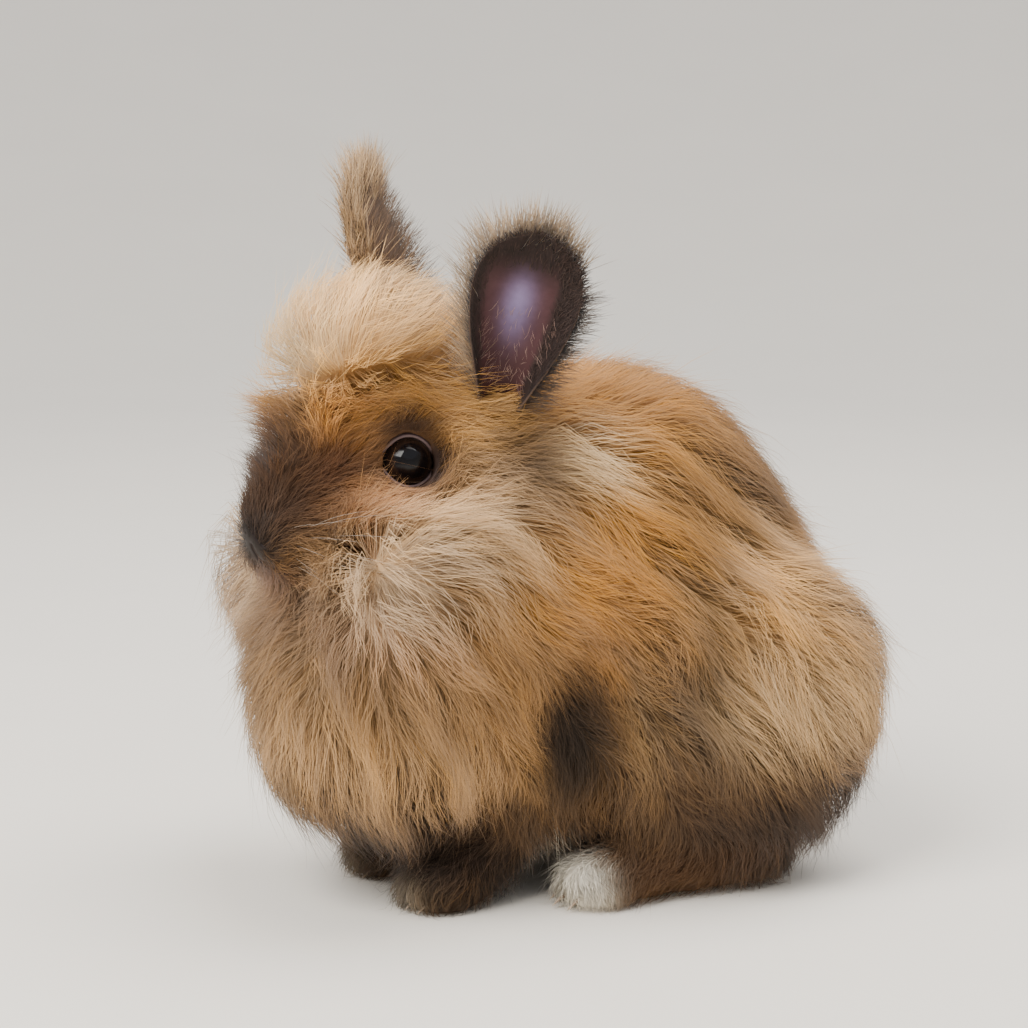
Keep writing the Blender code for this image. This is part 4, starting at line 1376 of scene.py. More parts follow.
@dataclass
class Unwrap:
    """A flat layout of the skin, which says where on it a hair's root lies."""

    skin: Skin
    faces: int = 5000

    def __post_init__(self) -> None:
        """Unwraps a light copy of the skin and removes the copy."""
        copy = mesh_object("skin_copy", self.skin.points - ORIGIN, self.skin.faces)
        fewer = copy.modifiers.new("fewer", "DECIMATE")
        fewer.ratio = self.faces / (2 * len(self.skin.faces))
        fewer.use_collapse_triangulate = True
        graph = bpy.context.evaluated_depsgraph_get()
        mesh = bpy.data.meshes.new_from_object(copy.evaluated_get(graph))
        copy.modifiers.clear()
        copy.data = mesh
        bpy.context.view_layer.objects.active = copy
        copy.select_set(True)
        bpy.ops.object.mode_set(mode="EDIT")
        bpy.ops.mesh.select_all(action="SELECT")
        bpy.ops.uv.smart_project(angle_limit=1.15, island_margin=0.01)
        bpy.ops.object.mode_set(mode="OBJECT")
        self.corners = np.empty(len(mesh.loops) * 2)
        mesh.uv_layers.active.data.foreach_get("uv", self.corners)
        self.corners = self.corners.reshape(-1, 3, 2)
        points = np.empty(len(mesh.vertices) * 3)
        mesh.vertices.foreach_get("co", points)
        self.points = points.reshape(-1, 3)
        self.triangles = np.array([tuple(face.vertices) for face in mesh.polygons])
        self.tree = BVHTree.FromPolygons(self.points.tolist(), self.triangles.tolist())
        bpy.data.objects.remove(copy)

    def at(self, roots: Array) -> Array:
        """The layout's place of each root."""
        found = np.array([self.tree.find_nearest(Vector(root))[2] for root in roots])
        a, b, c = (self.points[self.triangles[found][:, i]] for i in range(3))
        normal = np.cross(b - a, c - a)
        size = np.maximum((normal**2).sum(axis=1), 1e-18)
        second = (np.cross(roots - a, c - a) * normal).sum(axis=1) / size
        third = (np.cross(b - a, roots - a) * normal).sum(axis=1) / size
        share = np.clip(np.stack([1 - second - third, second, third], axis=1), 0, 1)
        share /= share.sum(axis=1, keepdims=True)
        return (self.corners[found] * share[:, :, None]).sum(axis=1)


@dataclass(frozen=True)
class Region:
    """A part of the coat that is one piece, and the middle that it gathers round."""

    name: str
    slot: Slot
    middle: Point
    head: bool = False

    def place(self) -> Array:
        """The middle in metres."""
        return on_head(*self.middle) if self.head else mm(*self.middle)


def sided(name: str, slot: Slot, middle: Point, head: bool = False) -> list[Region]:
    """A region on each side of the animal.

    Args:
        name: The regions' name without its side.
        slot: Their slot.
        middle: The left one's middle.
        head: Whether the middle is along the head's axes.

    Returns:
        The left and the right region.
    """
    axis = 1 if head else 0
    made = []
    for side in Side:
        place = middle if side is Side.LEFT else opposite(middle, axis)
        made.append(Region(f"{name}_{side.word}", slot, place, head))
    return made


REGIONS = [
    Region("muzzle_fur", Slot.FACE, (36, 0, -12), True),
    Region("forehead_fur", Slot.FACE, (20, 0, 16), True),
    *sided("cheek_fur", Slot.FACE, (4, 22, -14), True),
    *sided("brow_fur", Slot.FACE, (2, 18, 18), True),
    Region("crown_fur", Slot.MANE, (-14, 0, 30), True),
    Region("nape_fur", Slot.MANE, (0, -24, 136)),
    Region("throat_fur", Slot.MANE, (0, -78, 96)),
    *sided("ruff_fur", Slot.MANE, (30, -46, 96)),
    Region("bib_fur", Slot.MANE, (0, -64, 52)),
    *sided("shoulder_fur", Slot.BODY, (42, -12, 84)),
    Region("back_fur", Slot.BODY, (0, 20, 142)),
    *sided("flank_fur", Slot.BODY, (42, 6, 52)),
    *sided("haunch_fur", Slot.BODY, (54, 54, 60)),
    Region("rump_fur", Slot.BODY, (0, 74, 92)),
    Region("belly_fur", Slot.BODY, (0, 0, 12)),
    Region("tail_fur", Slot.BODY, (0, 86, 62)),
    *sided("hind_foot_fur", Slot.FOOT, (42, 6, 8)),
    *sided("fore_foot_fur", Slot.FOOT, (20, -46, 8)),
]


@dataclass
class FurCoat:
    """The whole coat: locks that follow the lie, each full of hairs, sorted into regions."""

    skin: Skin
    volume: Volume
    lie: Lie
    steps: int = 9
    rise: float = 0.62
    long_density: float = 1.19
    short_density: float = 2.3
    face_density: float = 3.0
    long_width: float = 0.25
    short_width: float = 0.20
    lock_spacing: float = 2.5
    lock_pull: float = 0.28
    lead_every: int = 12
    eye_bare: float = 8.6
    eye_margin: float = 1.9
    nose_at: Point = (43, 0, -17)
    nose_bare: Point = (3.5, 2.2, 2.4)

    def __post_init__(self) -> None:
        """Splits the skin into triangles with areas, and seeds the draws."""
        faces = self.skin.faces
        self.triangles = np.concatenate([faces[:, [0, 1, 2]], faces[:, [0, 2, 3]]])
        corners = self.skin.points[self.triangles]
        cross = np.cross(corners[:, 1] - corners[:, 0], corners[:, 2] - corners[:, 0])
        self.areas = np.linalg.norm(cross, axis=1) / 2
        self.upward = unit(cross)[:, 2]
        self.middles = corners.mean(axis=1)
        self.random = np.random.default_rng(SEED)

    def shortness(self, points: Array) -> Array:
        """From 0 in the long coat to 1 where the fur is short."""
        depth = self.volume.depth(points) / MM
        return np.clip((7.0 - depth) / 4.0, 0, 1)

    def density(self) -> Array:
        """Hairs for each square millimetre, for each triangle: most on the face, and fewest underneath."""
        short = self.shortness(self.middles)
        from_face = np.linalg.norm(self.middles - on_head(18, 0, -2), axis=1)
        face = np.exp(-((from_face / (40 * MM)) ** 4))
        density = self.long_density + (self.short_density - self.long_density) * short
        density = density + face * (0.5 + (self.face_density - 0.5) * short)
        density *= np.where(self.upward < -0.4, 0.45, 1.0)
        return density * np.where((self.upward < -0.2) & (self.middles[:, 2] < 12 * MM), 0.3, 1.0)

    def scatter(self, densities: Array) -> Array:
        """Roots spread over the skin.

        Args:
            densities: Roots for each square millimetre, for each triangle.

        Returns:
            The roots' places.
        """
        wanted = self.areas / MM**2 * densities
        count = int(wanted.sum())
        chosen = self.random.choice(len(wanted), count, p=wanted / wanted.sum())
        first, second = self.random.uniform(size=(2, count))
        flip = first + second > 1
        first[flip], second[flip] = 1 - first[flip], 1 - second[flip]
        a, b, c = (self.skin.points[self.triangles[chosen][:, i]] for i in range(3))
        return a + (b - a) * first[:, None] + (c - a) * second[:, None]

    def grown(self, roots: Array) -> Array:
        """Which roots bear hair: those clear of the floor, the eyes' openings and the end of the nose."""
        bears = roots[:, 2] > 0.6 * MM
        for eye in EYES:
            local = (roots - eye.middle) @ eye.axes / MM
            bears &= (np.hypot(local[:, 1], local[:, 2]) > self.eye_bare) | (local[:, 0] < -1)
        nose = (roots - on_head(*self.nose_at)) @ HEAD_AXES / MM
        back, across, up = self.nose_bare
        bears &= ~((np.abs(nose[:, 1]) < across) & (np.abs(nose[:, 2]) < up) & (nose[:, 0] > -back))
        return bears

    def locks(self) -> tuple[Array, Array, Array, Array]:
        """The centre lines that hairs gather round.

        Returns:
            Lines of points from the skin outwards, the normals at their roots and tips, their lengths and
            their tones.
        """
        short = self.shortness(self.middles)
        spacing = self.lock_spacing * (1 - 0.45 * short)
        roots = self.scatter(1 / spacing**2)
        roots = roots[self.grown(roots)]
        count = len(roots)
        here, normal = self.volume.settle(roots, np.zeros(count))
        first = normal
        _, length = self.lie.at(here, normal)
        depth = self.volume.depth(here)
        length = np.clip(np.minimum(length, 2.5 * MM + 2.5 * depth), 1.3 * depth, None)
        length = length * self.random.uniform(0.85, 1.12, count)
        tips = self.random.uniform(0.92, 1.12, count)
        travel = np.sqrt(np.maximum(length**2 - (depth * tips) ** 2, (0.3 * length) ** 2))
        lines = [here]
        for step in range(1, self.steps + 1):
            share = tips * (step / self.steps) ** self.rise
            way, _ = self.lie.at(here, normal)
            here, normal = self.volume.settle(here + way * (travel / self.steps)[:, None], share, 2)
            here[:, 2] = np.maximum(here[:, 2], 0.5 * MM)
            lines.append(here)
        lines = np.stack(lines, axis=1)
        return self.gathered(lines), np.stack([first, normal], axis=1), length, self.lock_tones(lines)

    def gathered(self, lines: Array) -> Array:
        """The centre lines drawn together into larger locks towards their tips."""
        leads = self.random.permutation(len(lines))[: len(lines) // self.lead_every]
        tree = KDTree(len(leads))
        for i, lead in enumerate(leads):
            tree.insert(lines[lead, 0], i)
        tree.balance()
        nearest = leads[[tree.find(root)[1] for root in lines[:, 0]]]
        pull = self.lock_pull * np.linspace(0, 1, self.steps + 1)[None, :, None] ** 1.4
        target = lines[nearest] + (lines[:, :1] - lines[nearest][:, :1]) * 0.2
        return lines + (target - lines) * pull

    def lock_tones(self, lines: Array) -> Array:
        """A slow change of tone over the coat, and a quick one from lock to lock, from 0 to 1."""
        places = lines[:, self.steps * 2 // 3]
        slow = np.sin(places @ self.lie.beats.T * 1.7 + self.lie.phases * 2).mean(axis=1)
        return np.clip(0.5 + 0.9 * slow + self.random.normal(0, 0.17, len(lines)), 0, 1)

    def build(self, finishes: dict[Slot, bpy.types.Material]) -> list[bpy.types.Object]:
        """Every piece of the coat, dressed."""
        lines, normals, lengths, tones = self.locks()
        log.info("%d locks", len(lines))
        tree = KDTree(len(lines))
        for i, line in enumerate(lines):
            tree.insert(line[0], i)
        tree.balance()
        roots = self.scatter(self.density())
        roots = roots[self.grown(roots)]
        owner = np.array([tree.find(root)[1] for root in roots])
        places = np.array([region.place() for region in REGIONS])
        region_of = np.linalg.norm(roots[:, None] - places[None], axis=2).argmin(axis=1)
        patches = Unwrap(self.skin).at(roots)
        made = []
        for number, region in enumerate(REGIONS):
            picked = np.flatnonzero(region_of == number)
            if len(picked) < 3:
                continue
            lock = [rows[owner[picked]] for rows in (lines, normals, lengths, tones)]
            groups = self.hairs(roots[picked], *lock, patches[picked])
            made.append(place_piece(hair_piece(region.name, groups), region.slot, finishes[region.slot]))
        log.info("coat: %d triangles", sum(len(piece.data.polygons) for piece in made))
        return made

    def hairs(
        self, roots: Array, lines: Array, normals: Array, lengths: Array, tones: Array, patches: Array
    ) -> list[Hairs]:
        """Hairs that each follow the line of the lock they grow in.

        Args:
            roots: Where they grow.
            lines: The line of each one's lock.
            normals: The coat's normals at the lock's root and at its tip.
            lengths: The lock's length.
            tones: The lock's tone.
            patches: Each root's place on the bake layout.

        Returns:
            The hairs of one region, in groups that take the same number of stations.
        """
        count = len(roots)
        random = self.random
        kinds = list(Layer)
        kind = random.choice(len(kinds), count, p=[layer.share for layer in kinds])
        spans = np.array([layer.lengths for layer in kinds])[kind]
        reach = random.uniform(spans[:, 0], spans[:, 1])
        stray = np.array([layer.stray for layer in kinds])[kind]
        short = self.shortness(roots)
        width = (self.long_width + (self.short_width - self.long_width) * short) * MM
        width = width * np.array([layer.width for layer in kinds])[kind] * random.uniform(0.8, 1.2, count)
        own = np.clip(0.6 * tones + 0.4 * random.uniform(size=count), 0, 1)
        loose = stray * np.minimum(lengths, 14 * MM) * (1 + 0.6 * short)
        loose = random.normal(size=(count, 3)) * loose[:, None]
        bow = random.normal(size=(count, 3)) * (0.06 * np.minimum(lengths, 20 * MM))[:, None]
        clump = random.uniform(0.0, 0.55, count)
        fray = random.normal(0, 1.6 * MM, (count, 3)) * (1 - 0.7 * short)[:, None]
        stations = np.where(kind == kinds.index(Layer.WISP), 4, 3)
        stations[(short > 0.6) & (lengths < 8 * MM)] = 2
        made = []
        for size in (2, 3, 4):
            rows = np.flatnonzero(stations == size)
            share = np.linspace(0, 1, size)[None]
            position = share * reach[rows, None] * self.steps
            low = np.minimum(position.astype(int), self.steps - 1)
            part = (position - low)[:, :, None]
            held = lines[rows]
            number = np.arange(len(rows))[:, None]
            path = held[number, low] * (1 - part) + held[number, low + 1] * part
            share = share[..., None]
            aside = (roots[rows] - held[:, 0])[:, None] * (1 - clump[rows, None, None] * share**1.2)
            path = path + aside + loose[rows][:, None] * share**1.6
            path = self.clear_of_eyes(path + bow[rows][:, None] * np.sin(share * math.pi))
            path[:, :, 2] = np.maximum(path[:, :, 2], 0.3 * MM)
            colours = painted(path[:, 0] + (path[:, -1] - path[:, 0]) * 0.75 + fray[rows])
            side, out = normals[rows, 0], normals[rows, 1]
            made.append(Hairs(path, side, out, width[rows], colours, own[rows], patches[rows]))
        return made

    def clear_of_eyes(self, path: Array) -> Array:
        """The lines moved aside where they would cross an eye's opening."""
        for eye in EYES:
            local = (path - eye.middle) @ eye.axes / MM
            beside = np.hypot(local[..., 1], local[..., 2])
            long, high = eye.almond
            turn = np.arctan2(local[..., 2] / high, local[..., 1] / long)
            rim = np.hypot(long * np.cos(turn), high * np.sin(turn)) + self.eye_margin
            inside = (beside < rim) & (local[..., 0] > 0)
            grow = np.where(inside, rim / np.maximum(beside, 0.5), 1.0)
            local[..., 1] *= grow
            local[..., 2] *= grow
            path = np.where(inside[..., None], eye.middle + local * MM @ eye.axes.T, path)
        return path


# Ears


@dataclass(frozen=True)
class Ear:
    """An upright cupped ear: its root in millimetres, the way that it points and the way that it opens."""

    side: Side
    root: Point
    points: Point
    opens: Point
    length: float = 53
    width: float = 40
    thickness: float = 1.3
    shag: float = 1.0
    rows: int = 44
    columns: int = 34

    def axes(self) -> tuple[Array, Array, Array]:
        """The unit ways up the ear, out of its opening and across it."""
        up = unit(np.array(self.points, float))
        opens = np.array(self.opens, float)
        opens = unit(opens - up * (opens @ up))
        return up, opens, np.cross(up, opens)

    def spread(self, share: Array) -> Array:
        """The ear's width along its length, as a share of the widest."""
        rise = 0.62 + 0.38 * np.sin(np.minimum(share / 0.6, 1.0) * math.pi / 2)
        fall = np.maximum(0.0, (share - 0.6) / 0.4)
        return rise * np.sqrt(np.maximum(1 - fall**2.4, 0.02))

    def place(self, share: Array, across: Array) -> Array:
        """Places on the ear's middle surface.

        Args:
            share: From 0 at the root to 1 at the tip.
            across: From -1 to 1.

        Returns:
            The places in metres.
        """
        up, opens, side = self.axes()
        share, across = np.asarray(share, float), np.asarray(across, float)
        curl = 2.6 * (1 - share) ** 1.5 + 1.2
        radius = self.width * MM * self.spread(share) / curl
        angle = across * curl / 2
        bow = np.sin(share * math.pi) * 2.5 * MM
        ridge = mm(*self.root) + up * (self.length * MM * share)[..., None] - opens * bow[..., None]
        out = (radius * (1 - np.cos(angle)))[..., None]
        return ridge + opens * out + side * (radius * np.sin(angle))[..., None]

    def facing(self, share: Array, across: Array) -> Array:
        """Unit ways out of the cup at places on the middle surface."""
        step = 0.01
        share = np.clip(share, 0.0, 0.985)
        along = self.place(share + step, across) - self.place(share - step, across)
        over = self.place(share, across + step) - self.place(share, across - step)
        return unit(np.cross(over, along))

    def colour(self, share: Array, across: Array, inside: bool) -> Array:
        """The colour of the ear's skin, with a painted highlight in its cup.

        Args:
            share: From root to tip.
            across: From -1 to 1.
            inside: Whether this is the inner face.

        Returns:
            Linear colours.
        """
        if not inside:
            return np.tile(linear((96, 78, 66)), (share.size, 1))
        rear = across * self.side.value
        inward = np.maximum(np.maximum(rear / 0.52, -rear / 0.8), share / 0.8)
        rim = np.clip((inward - 0.82) / 0.26, 0, 1)[..., None]
        # The lilac patch in the cup: partly the skin's own lilac and partly a painted bluish highlight.
        lilac_and_highlight = np.exp(-(((rear + 0.12) / 0.24) ** 2) - ((share - 0.55) / 0.2) ** 2)[..., None]
        base = linear((72, 48, 50)) * (1 - lilac_and_highlight) + linear((124, 110, 146)) * lilac_and_highlight
        low = np.clip((0.36 - share) / 0.3, 0, 1)[..., None]
        base = base * (1 - low) + linear((60, 38, 38)) * low
        return (base * (1 - rim) + linear((42, 33, 31)) * rim).reshape(-1, 3)

    def build(self, finish: bpy.types.Material) -> bpy.types.Object:
        """The cupped shell, in place of its solid."""
        share, across = np.meshgrid(
            np.linspace(0, 1, self.rows + 1), np.linspace(-1, 1, self.columns + 1), indexing="ij"
        )
        middle, out = self.place(share, across), self.facing(share, across)
        edge = 1 - np.abs(across) ** 6
        thick = (self.thickness * MM * (0.45 + 0.55 * edge) * (1.15 - 0.5 * share))[..., None] / 2
        front, back = (middle + out * thick).reshape(-1, 3), (middle - out * thick).reshape(-1, 3)
        row, many = self.columns + 1, len(front)
        faces = []
        for i in range(self.rows):
            for j in range(self.columns):
                a = i * row + j
                faces.append((a, a + 1, a + row + 1, a + row))
                faces.append((many + a, many + a + row, many + a + row + 1, many + a + 1))
        border = [*range(row)] + [i * row + row - 1 for i in range(1, self.rows + 1)]
        border += [self.rows * row + j for j in range(row - 2, -1, -1)]
        border += [i * row for i in range(self.rows - 1, 0, -1)]
        for a, b in zip(border, border[1:] + border[:1]):
            faces.append((b, a, many + a, many + b))
        shell = mesh_object(f"ear_shell_{self.side.word}", np.concatenate([front, back]), np.array(faces))
        inner, outer = self.colour(share, across, True), self.colour(share, across, False)
        colour_points(shell, np.concatenate([inner, outer]))
        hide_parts(f"ear_{self.side.word}")
        return place_piece(shell, Slot.EAR, finish)


EARS = [
    Ear(Side.LEFT, (20, -30, 153), (0.42, 0.03, 0.90), (0.85, -0.52, -0.1), width=36),
    Ear(Side.RIGHT, (-17.6, -39.2, 163), (-0.22, -0.21, 0.95), (-0.68, -0.73, 0.0), 56, 40, shag=3.0),
]


@dataclass(frozen=True)
class EarTuft:
    """One growth of ear hair: where it grows, how long it is and what colour it has."""

    count: int
    shares: tuple[float, float]
    across: tuple[float, float]
    face: float
    lengths: tuple[float, float]
    lean: tuple[float, float, float]
    colours: tuple[Colour, Colour]
    width: float = 0.2
    stray: float = 0.16

    @property
    def shaggy(self) -> bool:
        """Whether it grows with the ear's shag, as the hair over the whole back does."""
        return self.across == (-1, 1)


TAN: tuple[Colour, Colour] = ((112, 88, 64), (196, 162, 120))
SOOT: tuple[Colour, Colour] = ((38, 29, 27), (68, 52, 46))
DUSK: tuple[Colour, Colour] = ((52, 41, 35), (118, 92, 70))
BROWN: tuple[Colour, Colour] = ((54, 43, 38), (120, 98, 80))
PINK: tuple[Colour, Colour] = ((120, 92, 84), (170, 140, 128))
EAR_TUFTS = [
    EarTuft(1500, (0.0, 0.99), (-1, 1), -1, (3.0, 6.0), (0.7, 0.15, -0.7), DUSK),
    EarTuft(1000, (0.12, 0.98), (0.5, 1.0), 1, (2.4, 4.6), (0.5, 0.6, 0.35), SOOT),
    EarTuft(450, (0.2, 0.95), (-1.0, -0.7), 1, (2.0, 3.6), (0.6, 0.5, 0.3), SOOT),
    EarTuft(650, (0.76, 1.0), (-1.0, 1.0), 1, (2.4, 4.6), (0.8, 0.35, 0.3), SOOT),
    EarTuft(500, (0.1, 1.0), (0.9, 1.0), 0, (2.4, 4.4), (0.5, 0.7, 0.1), SOOT),
    EarTuft(300, (0.3, 1.0), (-1.0, -0.9), 0, (2.0, 3.6), (0.6, 0.7, 0.1), SOOT),
    EarTuft(900, (0.84, 1.0), (-1.0, 1.0), -1, (6, 13), (1.0, 0.25, -0.1), TAN, 0.2, 0.26),
    EarTuft(900, (0.05, 0.9), (-1.0, -0.65), -1, (8, 15), (0.9, 0.6, -0.3), TAN, 0.2, 0.26),
    EarTuft(500, (0.0, 0.75), (0.7, 1.0), -1, (6, 10), (0.35, 0.7, -0.3), BROWN, 0.18),
    EarTuft(160, (0.05, 0.5), (-0.8, 0.8), 1, (3, 6), (0.8, -0.2, 0.4), PINK, 0.12),
]


@dataclass
class EarCoat:
    """The hair of one ear: its furred back, dark rim, long fringe and the fine hairs in its cup."""

    ear: Ear

    def grow(self, tuft: EarTuft, random: np.random.Generator) -> Hairs:
        """Hairs of one growth.

        Args:
            tuft: The growth.
            random: The seeded source of its draws.

        Returns:
            The hairs.
        """
        ear, count = self.ear, tuft.count
        up, _, side = ear.axes()
        share = random.uniform(*tuft.shares, count)
        across = random.uniform(*tuft.across, count) * ear.side.value
        out = ear.facing(share, across)
        root = ear.place(share, across) + out * (tuft.face * ear.thickness * 0.3 * MM)
        bunch = np.sin(share * 61 + across * 17) * 0.5 + np.sin(share * 23 - across * 41) * 0.5
        ahead, apart, away = tuft.lean
        edge = np.sign(across) * np.abs(across) ** 1.5
        way = up * ahead + side * (apart * edge + 0.14 * bunch)[:, None] + out * away
        way = unit(way + random.normal(0, tuft.stray, (count, 3)))
        length = random.uniform(*tuft.lengths, count) * MM
        if tuft.shaggy:
            length *= 1 + (ear.shag - 1) * (1 - share)
        steps = np.linspace(0, 1, 4 if length.max() > 6.5 * MM else 3)
        bend = -out * 0.12 + unit(random.normal(size=(count, 3))) * 0.16
        lines = root[:, None] + way[:, None] * (length[:, None] * steps)[..., None]
        lines += bend[:, None] * (length[:, None] * steps**2)[..., None]
        tone = np.clip(0.5 + 0.3 * bunch + random.normal(0, 0.2, count), 0, 1)
        dark, pale = (linear(colour) for colour in tuft.colours)
        colours = dark + (pale - dark) * random.uniform(size=(count, 1))
        width = tuft.width * MM * random.uniform(0.75, 1.25, count)
        patches = np.stack([share * 0.9 + 0.05, across * 0.45 + 0.5], axis=1)
        facing = out * (1 if tuft.face > 0 else -1) + up * 0.3
        return Hairs(lines, out, facing, width, colours, tone, patches)

    def build(self, finish: bpy.types.Material) -> bpy.types.Object:
        """The ear's hair as one dressed piece."""
        random = np.random.default_rng(SEED + 20 + self.ear.side.value)
        grown = [self.grow(tuft, random) for tuft in EAR_TUFTS]
        return place_piece(hair_piece(f"ear_fur_{self.ear.side.word}", grown), Slot.EAR, finish)


# Claws and whiskers


@dataclass
class Claws:
    """The claws of one foot: curved cones that leave the ends of the toes."""

    name: str
    across: float
    forward: float
    count: int
    toe: float
    length: float = 6.5
    girth: float = 1.5
    root: Colour = (70, 56, 48)
    tip: Colour = (170, 150, 128)

    def build(self, finish: bpy.types.Material) -> bpy.types.Object:
        """The claws as one dressed piece."""
        points, faces, shades = [], [], []
        sides, rings = 10, 7
        for toe in range(self.count):
            offset = (toe - (self.count - 1) / 2) * self.toe * TOE_APART
            forward = self.forward + abs(offset) * TOE_FALL - self.toe * 1.2
            start = mm(self.across + offset, forward, self.toe * 0.95)
            base = len(points)
            for ring in range(rings):
                share = ring / (rings - 1)
                place = start + mm(0, -self.length * share, -self.toe * 0.75 * share**1.8)
                radius = self.girth / 2 * MM * (1 - share) ** 0.6 + 0.02 * MM
                for side in range(sides):
                    turn = 2 * math.pi * side / sides
                    away = np.array([radius * math.cos(turn), 0, radius * 1.3 * math.sin(turn)])
                    points.append(place + away)
                    shades.append(linear(self.root) * (1 - share) + linear(self.tip) * share)
            for ring in range(rings - 1):
                for side in range(sides):
                    a, b = base + ring * sides + side, base + ring * sides + (side + 1) % sides
                    faces += [(a, b, b + sides), (a, b + sides, a + sides)]
            faces += [(base, base + side + 1, base + side) for side in range(1, sides - 1)]
            tip = base + (rings - 1) * sides
            faces += [(tip, tip + side, tip + side + 1) for side in range(1, sides - 1)]
        claws = mesh_object(self.name, np.array(points), np.array(faces))
        colour_points(claws, np.array(shades))
        return place_piece(claws, Slot.FOOT, finish)


@dataclass
class Whiskers:
    """Fine whiskers that sweep out and back from the pads beside the nose."""

    rows: int = 4
    columns: int = 4
    length: float = 30
    width: float = 0.13
    sag: Point = (-9, 0, -5)
    colour: Colour = (190, 176, 160)

    def build(self, finish: bpy.types.Material) -> bpy.types.Object:
        """All whiskers as one dressed piece."""
        random = np.random.default_rng(SEED + 5)
        lines, sides = [], []
        for side in Side:
            for row in range(self.rows):
                for column in range(self.columns):
                    place = (37 - column * 2.6, side.value * (6.5 + column * 1.3), -21 + row * 2.6)
                    way = np.array((0.15 - 0.3 * column / 4, side.value * 0.9, -0.32 + 0.22 * row))
                    way = unit(way + random.normal(0, 0.08, 3))
                    length = self.length * (0.55 + 0.15 * column) * random.uniform(0.85, 1.1)
                    steps = np.linspace(0, 1, 7)[:, None]
                    sag = np.array(self.sag) * steps**2 * length / self.length
                    local = np.array(place) + way * length * steps + sag
                    lines.append(mm(*HEAD_AT) + local * MM @ HEAD_AXES.T)
                    sides.append(HEAD_AXES[:, 2])
        count = len(lines)
        colours = np.tile(linear(self.colour), (count, 1))
        widths, tones = np.full(count, self.width * MM), np.full(count, 0.6)
        patches = np.linspace(0.02, 0.9, count)[:, None] * np.ones(2)
        hairs = Hairs(np.array(lines), np.array(sides), np.array(sides), widths, colours, tones, patches)
        return place_piece(hair_piece("whiskers", [hairs]), Slot.FACE, finish)


# Studio


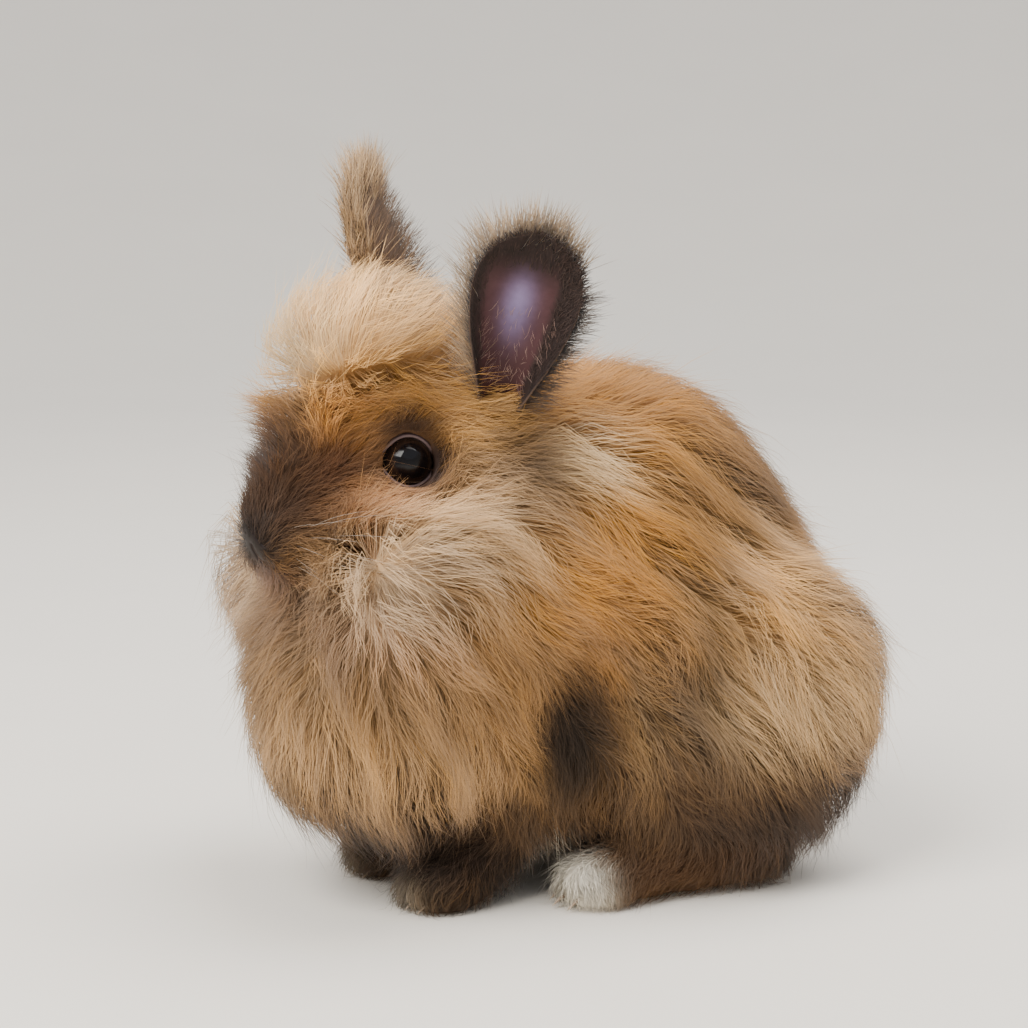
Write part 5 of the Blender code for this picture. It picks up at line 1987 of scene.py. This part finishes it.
@dataclass
class Studio:
    """The floor, the soft light and the camera."""

    azimuth: float = 62
    elevation: float = 10
    distance: float = 0.80
    frame_width: float = 0.3187
    aim: Point = (0, 0, 105)
    shift: tuple[float, float] = (-46 / 1028, 23 / 1028)

    def build(self) -> None:
        """Sets the whole stage."""
        self.build_floor()
        self.build_light()
        self.build_camera()

    def build_floor(self) -> None:
        """A wide floor at z = 0 that curves up far off on every side."""
        floor = bpy.data.objects.new("floor", bpy.data.meshes.new("floor"))
        shape = bmesh.new()
        bmesh.ops.create_grid(shape, x_segments=120, y_segments=120, size=3.0)
        for vert in shape.verts:
            away = max(vert.co.xy.length - 1.2, 0.0)
            vert.co.z = 0.35 * away**2
        shape.to_mesh(floor.data)
        shape.free()
        floor.data.shade_smooth()
        bpy.context.scene.collection.objects.link(floor)
        floor.data.materials.append(FloorFinish().build())

    def build_light(self) -> None:
        """A pale room all round, a large soft window ahead and above, and a fill."""
        world = bpy.data.worlds.new("studio")
        world.use_nodes = True
        sky = world.node_tree.nodes["Background"]
        feed(world.node_tree, sky, {"Color": (0.93, 0.95, 1.0, 1), "Strength": 1.0})
        bpy.context.scene.world = world
        self.lamp("window", (0.35, -0.9, 1.1), 30.0, 0.8, (1.0, 0.97, 0.92))
        self.lamp("overhead", (0.1, 0.4, 1.4), 22.0, 1.0, (1.0, 0.98, 0.95))

    def lamp(self, name: str, place: Point, power: float, size: float, tint: Point) -> None:
        """A square soft light that faces the rabbit.

        Args:
            name: The lamp's name.
            place: Where it stands, in metres.
            power: Its power in watts.
            size: The length of its side in metres.
            tint: Its red, green and blue.
        """
        light = bpy.data.lights.new(name, "AREA")
        light.energy, light.size, light.color = power, size, tint
        lamp = bpy.data.objects.new(name, light)
        lamp.location = place
        lamp.rotation_euler = (Vector((0, 0, 0.1)) - Vector(place)).to_track_quat("-Z", "Y").to_euler()
        bpy.context.scene.collection.objects.link(lamp)

    def build_camera(self) -> None:
        """The camera at the photograph's angle."""
        turn, tilt = math.radians(self.azimuth), math.radians(self.elevation)
        back = Vector((math.sin(turn) * math.cos(tilt), -math.cos(turn) * math.cos(tilt), math.sin(tilt)))
        lens = bpy.data.cameras.new("camera")
        lens.lens = lens.sensor_width * self.distance / self.frame_width
        lens.shift_x, lens.shift_y = self.shift
        lens.clip_start, lens.clip_end = 0.01, 50
        camera = bpy.data.objects.new("camera", lens)
        camera.location = Vector(mm(*self.aim) + ORIGIN) + back * self.distance
        camera.rotation_euler = (-back).to_track_quat("-Z", "Y").to_euler()
        bpy.context.scene.collection.objects.link(camera)
        bpy.context.scene.camera = camera


# Putting the rabbit together


def main() -> None:
    """Builds every sub-assembly in order."""
    logging.basicConfig(level=logging.INFO, format="%(message)s")
    effects = Effects()
    furs = {
        Slot.FACE: FurFinish("face_fur", 0.65, 1.22, 0.5).build(effects),
        Slot.MANE: FurFinish("mane_fur", 0.55, 1.3, 0.65).build(effects),
        Slot.BODY: FurFinish("body_fur", 0.55, 1.3, 0.65).build(effects),
        Slot.FOOT: FurFinish("foot_fur", 0.70, 1.18, 0.4).build(effects),
    }
    ear_hair = FurFinish("ear_fur", 0.75, 1.15, 0.4).build(effects)
    volume = Volume(Animal())
    skin = Skin(volume)
    skin.build(SkinFinish("skin", 700.0, 0.4, 0.4).build(effects))
    lid_skin = SkinFinish("eyelid_skin", 1600.0, 0.3, 0.3, 0.1, 0.25).build(effects)
    eye_gloss = EyeFinish().build(effects)
    for eye in EYES:
        builder = EyeBuilder(eye)
        builder.build_ball(eye_gloss)
        builder.build_lids(lid_skin)
    Nose(volume).build(SkinFinish("nose_skin", 1500.0, 0.35, 0.5, 0.15, 0.1).build(effects))
    ear_skin = SkinFinish("ear_skin", 500.0, 0.35, 0.3, 0.15).build(effects)
    for ear in EARS:
        ear.build(ear_skin)
        EarCoat(ear).build(ear_hair)
    horn = SkinFinish("claw_horn", 1800.0, 0.3, 0.2, 0.05, 0.3).build(effects)
    for side in Side:
        Claws(f"hind_claws_{side.word}", side.value * 40, -12, 3, 4.6).build(horn)
        Claws(f"fore_claws_{side.word}", side.value * 20, -55, 4, 4.0, 5.5, 1.3).build(horn)
    Whiskers().build(ear_hair)
    FurCoat(skin, volume, Lie()).build(furs)
    Studio().build()


if __name__ == "__main__":
    main()
